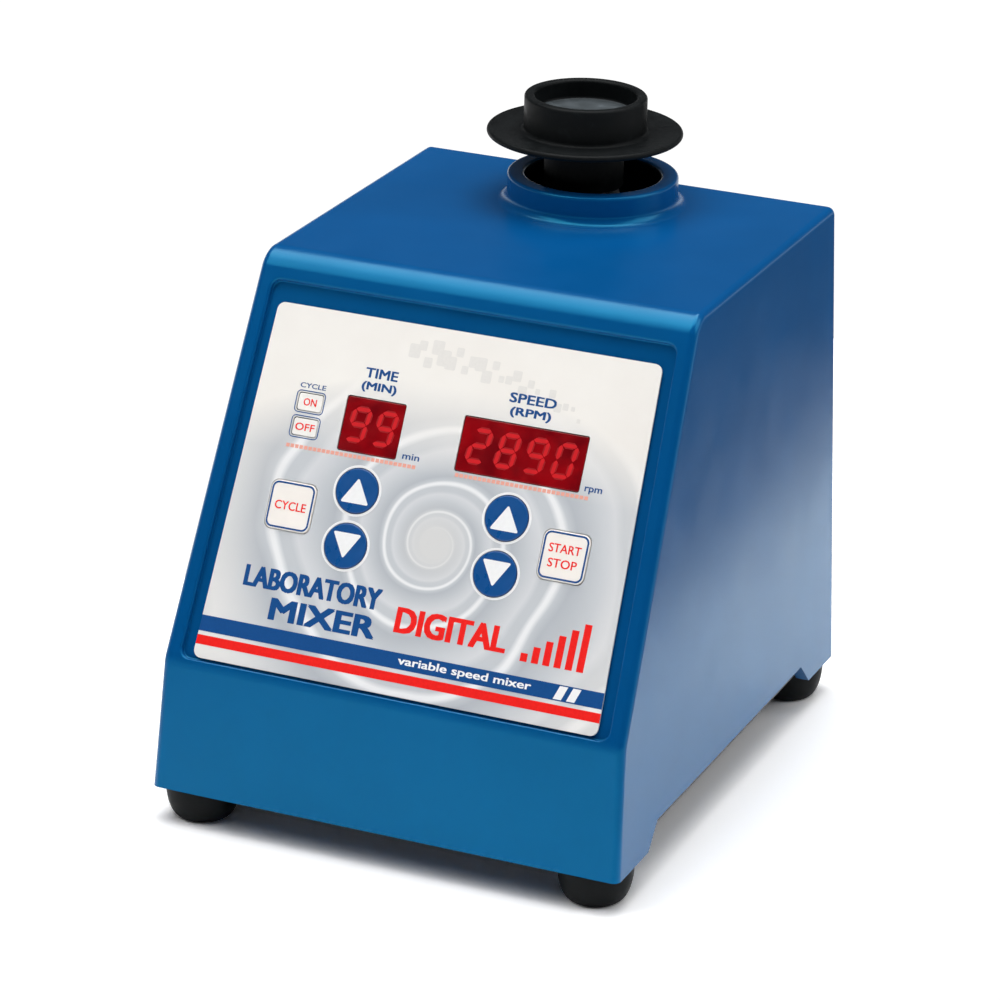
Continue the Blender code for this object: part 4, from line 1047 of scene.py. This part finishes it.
# Cup and feet
def build_cup():
    """The rubber cup: dished floor, thick rim, flange and a stem over the head's post."""
    middle = middle_of("mixing_cup")
    edge_half = FLANGE_EDGE / 2
    edge_middle = FLANGE_TOP + FLANGE_RISE - edge_half
    radii = [(CUP_INNER - 0.0012) * k / 8 for k in range(9)]
    profile = [(r, CUP_FLOOR - 0.0004 * (1 - (r / CUP_INNER) ** 2)) for r in radii]
    profile += arc(CUP_INNER - 0.0010, CUP_FLOOR + 0.0010, 0.0010, 280, 355, 6)
    profile += arc(CUP_INNER + 0.0008, CUP_RIM - 0.0008, 0.0008, 180, 90, 6)
    profile += arc(CUP_OUTER - 0.0008, CUP_RIM - 0.0008, 0.0008, 90, 0, 6)
    profile += arc(CUP_OUTER + 0.001, FLANGE_TOP + 0.001, 0.001, 180, 270, 6)
    profile += arc(FLANGE_RADIUS - edge_half, edge_middle, edge_half, 90, -90, 12)
    profile += arc(STEM_RADIUS + 0.0008, FLANGE_BOTTOM - 0.0008, 0.0008, 90, 180, 4)
    profile += [(STEM_RADIUS, CUP_LOW.z + 0.0003), (STEM_RADIUS - 0.0003, CUP_LOW.z)]
    profile += [(STEM_BORE, CUP_LOW.z), (STEM_BORE, POST_TOP), (0, POST_TOP)]
    cup = turned(profile, 128, x=middle.x, y=middle.y)
    # Faces of the cup's floor get the lighter grey rubber.
    for face in cup.faces:
        centre = face.calc_center_median()
        on_floor = CUP_FLOOR - 0.001 < centre.z < CUP_FLOOR + 0.0003
        if on_floor and (centre - middle).to_2d().length < CUP_INNER:
            face.material_index = 1
    piece("rubber_cup", cup, ["rubber", "lighter_floor_rubber"], "cup", stands_for=["mixing_cup"])


def build_feet():
    """Four domed rubber feet with a recess for the screw."""
    contact, recess, hole, ceiling = 0.006, 0.0044, 0.0021, 0.0032
    for corner in CORNERS:
        node = f"foot_{corner}"
        low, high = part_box(node)
        middle = middle_of(node)
        spread, height = (high.x - low.x) / 2 - contact, high.z - low.z
        angles = [math.pi / 2 * k / 14 for k in range(15)]
        dome = [(contact + spread * math.sin(a), low.z + height * (1 - math.cos(a))) for a in angles]
        profile = [(recess, low.z)] + dome + [(hole, high.z), (hole, ceiling), (recess, ceiling)]
        piece(f"rubber_{node}", turned(profile, 64, x=middle.x, y=middle.y), ["rubber"],
              stands_for=[node])


# Rear
def rear_piece(name, node, corner, back, depth):
    """A black piece in the back face, and its middle: a softened flange with a block behind it."""
    x, width, height = rear_box(node)
    flange = softened(rectangle(width, height, x), corner, GAP, REAR_FACE, 0.0004)
    made = piece(name, flange, ["black_plastic"], place=REAR, stands_for=[node])
    made.modifiers.clear()
    combine(made, plate(rectangle(*back, x), -depth, GAP + 0.0005), "UNION", REAR)
    return made, x


def build_inlet():
    """The mains inlet, with a softened flange and a funnelled mouth."""
    inlet, x = rear_piece("mains_inlet", "power_inlet", 0.002, (0.027, 0.0198), 0.020)
    half_w, half_h = INLET_MOUTH[0] / 2, INLET_MOUTH[1] / 2
    corners = [(x - half_w, -half_h), (x + half_w, -half_h), (x + half_w, half_h - INLET_CUT),
               (x + half_w - INLET_CUT, half_h), (x - half_w + INLET_CUT, half_h),
               (x - half_w, half_h - INLET_CUT)]
    levels = ((0, -INLET_DEPTH), (0, REAR_FACE - 0.0007), (-0.0005, REAR_FACE + 0.0001),
              (-0.0005, REAR_FACE + 0.002))
    combine(inlet, loft([ring(corners, 0.0008, sunk, z) for sunk, z in levels]), place=REAR)
    slots = bmesh.new()
    for pin in ("live", "neutral", "earth"):
        middle = REAR.inverted() @ middle_of(f"inlet_pin_{pin}")
        plate(rectangle(0.0026, 0.0046, middle.x, middle.y), -0.025, -INLET_DEPTH + 0.001, bm=slots)
    combine(inlet, slots, place=REAR)
    smooth(inlet, 40)


def build_switch():
    """The power switch: its frame, and the rocker with its two signs."""
    body, x = rear_piece("switch_frame", "power_switch_body", 0.0012, (0.0127, 0.019), 0.016)
    combine(body, plate(rectangle(*SWITCH_WELL, x), -0.0115, 0.004), place=REAR)
    smooth(body, 40)

    pivot = next(joint["pos_m"] for joint in frame["joints"] if joint["name"] == "power_rock")
    place = REAR.copy()
    place.translation = Vector(pivot)
    place = place @ Matrix.Rotation(-ROCKER_TILT, 4, "X")
    half = SWITCH_WELL[1] / 2 - 0.00095
    dish = [(half * (1 - k / 6), ROCKER_FACE + ROCKER_DISH * (1 - k / 6) ** 2) for k in range(13)]
    section = arc(0, 0, 0.005, 200, 340, 12) + [(half, 0.0034)] + dish + [(-half, 0.0034)]
    rocker = plate(section, -0.005, 0.005)
    for vert in rocker.verts:
        vert.co = (vert.co.z, vert.co.x, vert.co.y)
    piece("rocker", rocker, ["black_plastic"], "rocker", place, ["power_rocker"])
    bottom, top = -0.0001, 0.00005
    marks = bmesh.new()
    for k in range(4):
        plate(rectangle(0.0007, 0.0008, 0, 0.0034 + 0.0008 * k), bottom, top, bm=marks)
    plate(circle(0.0016, 40, 0, -0.0046), bottom, top, [circle(0.0010, 40, 0, -0.0046)], marks)
    for vert in marks.verts:
        vert.co.z += ROCKER_FACE + ROCKER_DISH * (vert.co.y / half) ** 2
    piece("rocker_signs", marks, ["white_ink"], "rocker", place)


# What stays as it was designed
def dress_nodes():
    """Give every other node its material and softly broken edges."""
    for part in frame["record"]["subparts"]:
        node = frame["nodes"][part["node"]]
        if node.hide_render:
            continue
        node.data.materials[0] = LOOKS[part["material_slot"]]
        weld = node.modifiers.new("weld", "WELD")
        weld.merge_threshold = 0.000001
        bevel = node.modifiers.new("broken_edges", "BEVEL")
        bevel.width = 0.0002
        bevel.segments = 2
        bevel.limit_method = "ANGLE"
        bevel.angle_limit = math.radians(40)
        weight_normals(node)


# Stage
def build_stage():
    """A pale sheet to stand on."""
    bm = bmesh.new()
    bm.faces.new([bm.verts.new((x, y, 0)) for x, y in rectangle(*FLOOR_SIZE, 0, FLOOR_MIDDLE)])
    floor = placed("floor", bm)
    look = Look("pale_floor", Roughness=0.6, Specular_IOR_Level=0.2)
    shade = look.ramp(look.noise(0.2, 2), ((0.3, (1.25, 1.25, 1.25, 1)), (0.7, (1.28, 1.28, 1.28, 1))))
    look.feed(shade)
    floor.data.materials.append(look.material)


def build_world():
    """Pale below and at the horizon, dim above, and darker where the right side looks."""
    world = bpy.data.worlds.new("studio")
    bpy.context.scene.world = world
    world.use_nodes = True
    nodes = Nodes(world.node_tree)
    point = nodes.node("TexCoord").outputs["Generated"]
    above = nodes.spread(nodes.axis(point, "Z"), 0.0, 1.0, 0.065, 0.1)
    towards = nodes.vector("DOT_PRODUCT", point, DARK_SIDE.normalized(), "Value")
    beside = nodes.spread(towards, 0.0, 1.0, math.cos(math.radians(23)), math.cos(math.radians(15)))
    dim = nodes.math("MAXIMUM", above, beside)
    shade = nodes.mix(dim, (1.06, 1.06, 1.06, 1), (0.04, 0.04, 0.045, 1))
    nodes.tree.links.new(shade, nodes.tree.nodes["Background"].inputs["Color"])


def softbox(name, location, width, height, power):
    """A rectangular light aimed at the object."""
    light = bpy.data.lights.new(name, "AREA")
    light.shape = "RECTANGLE"
    light.size = width
    light.size_y = height
    light.energy = power
    obj = bpy.data.objects.new(name, light)
    bpy.context.scene.collection.objects.link(obj)
    obj.location = location
    aim = Vector((0, 0, 0.07)) - obj.location
    obj.rotation_euler = aim.to_track_quat("-Z", "Y").to_euler()


def build_lights():
    """A large softbox overhead, a key from the front left and a fill from the right."""
    softbox("overhead", (-0.12, 0.15, 1.45), 1.5, 1.3, 30)
    softbox("key", (-0.74, -0.74, 1.28), 0.7, 0.7, 5)
    softbox("fill", (0.95, 0.25, 0.85), 0.8, 0.8, 5)


def build_camera():
    """The camera, at its three-quarter view."""
    camera = bpy.data.cameras.new("camera")
    camera.lens = CAMERA_LENS
    obj = bpy.data.objects.new("camera", camera)
    bpy.context.scene.collection.objects.link(obj)
    turn = Matrix.Rotation(CAMERA_AZIMUTH, 4, "Z") @ Matrix.Rotation(math.pi / 2 - CAMERA_ELEVATION, 4, "X")
    turn = turn @ Matrix.Rotation(CAMERA_ROLL, 4, "Z")
    back = Matrix.Translation((0, 0, CAMERA_DISTANCE))
    obj.matrix_world = Matrix.Translation(CAMERA_TARGET) @ turn @ back
    bpy.context.scene.camera = obj
    bpy.context.scene.view_settings.view_transform = "Standard"


build_housing()
build_film()
build_displays()
build_guides()
build_keys()
build_cup()
build_feet()
build_inlet()
build_switch()
dress_nodes()
build_stage()
build_world()
build_lights()
build_camera()
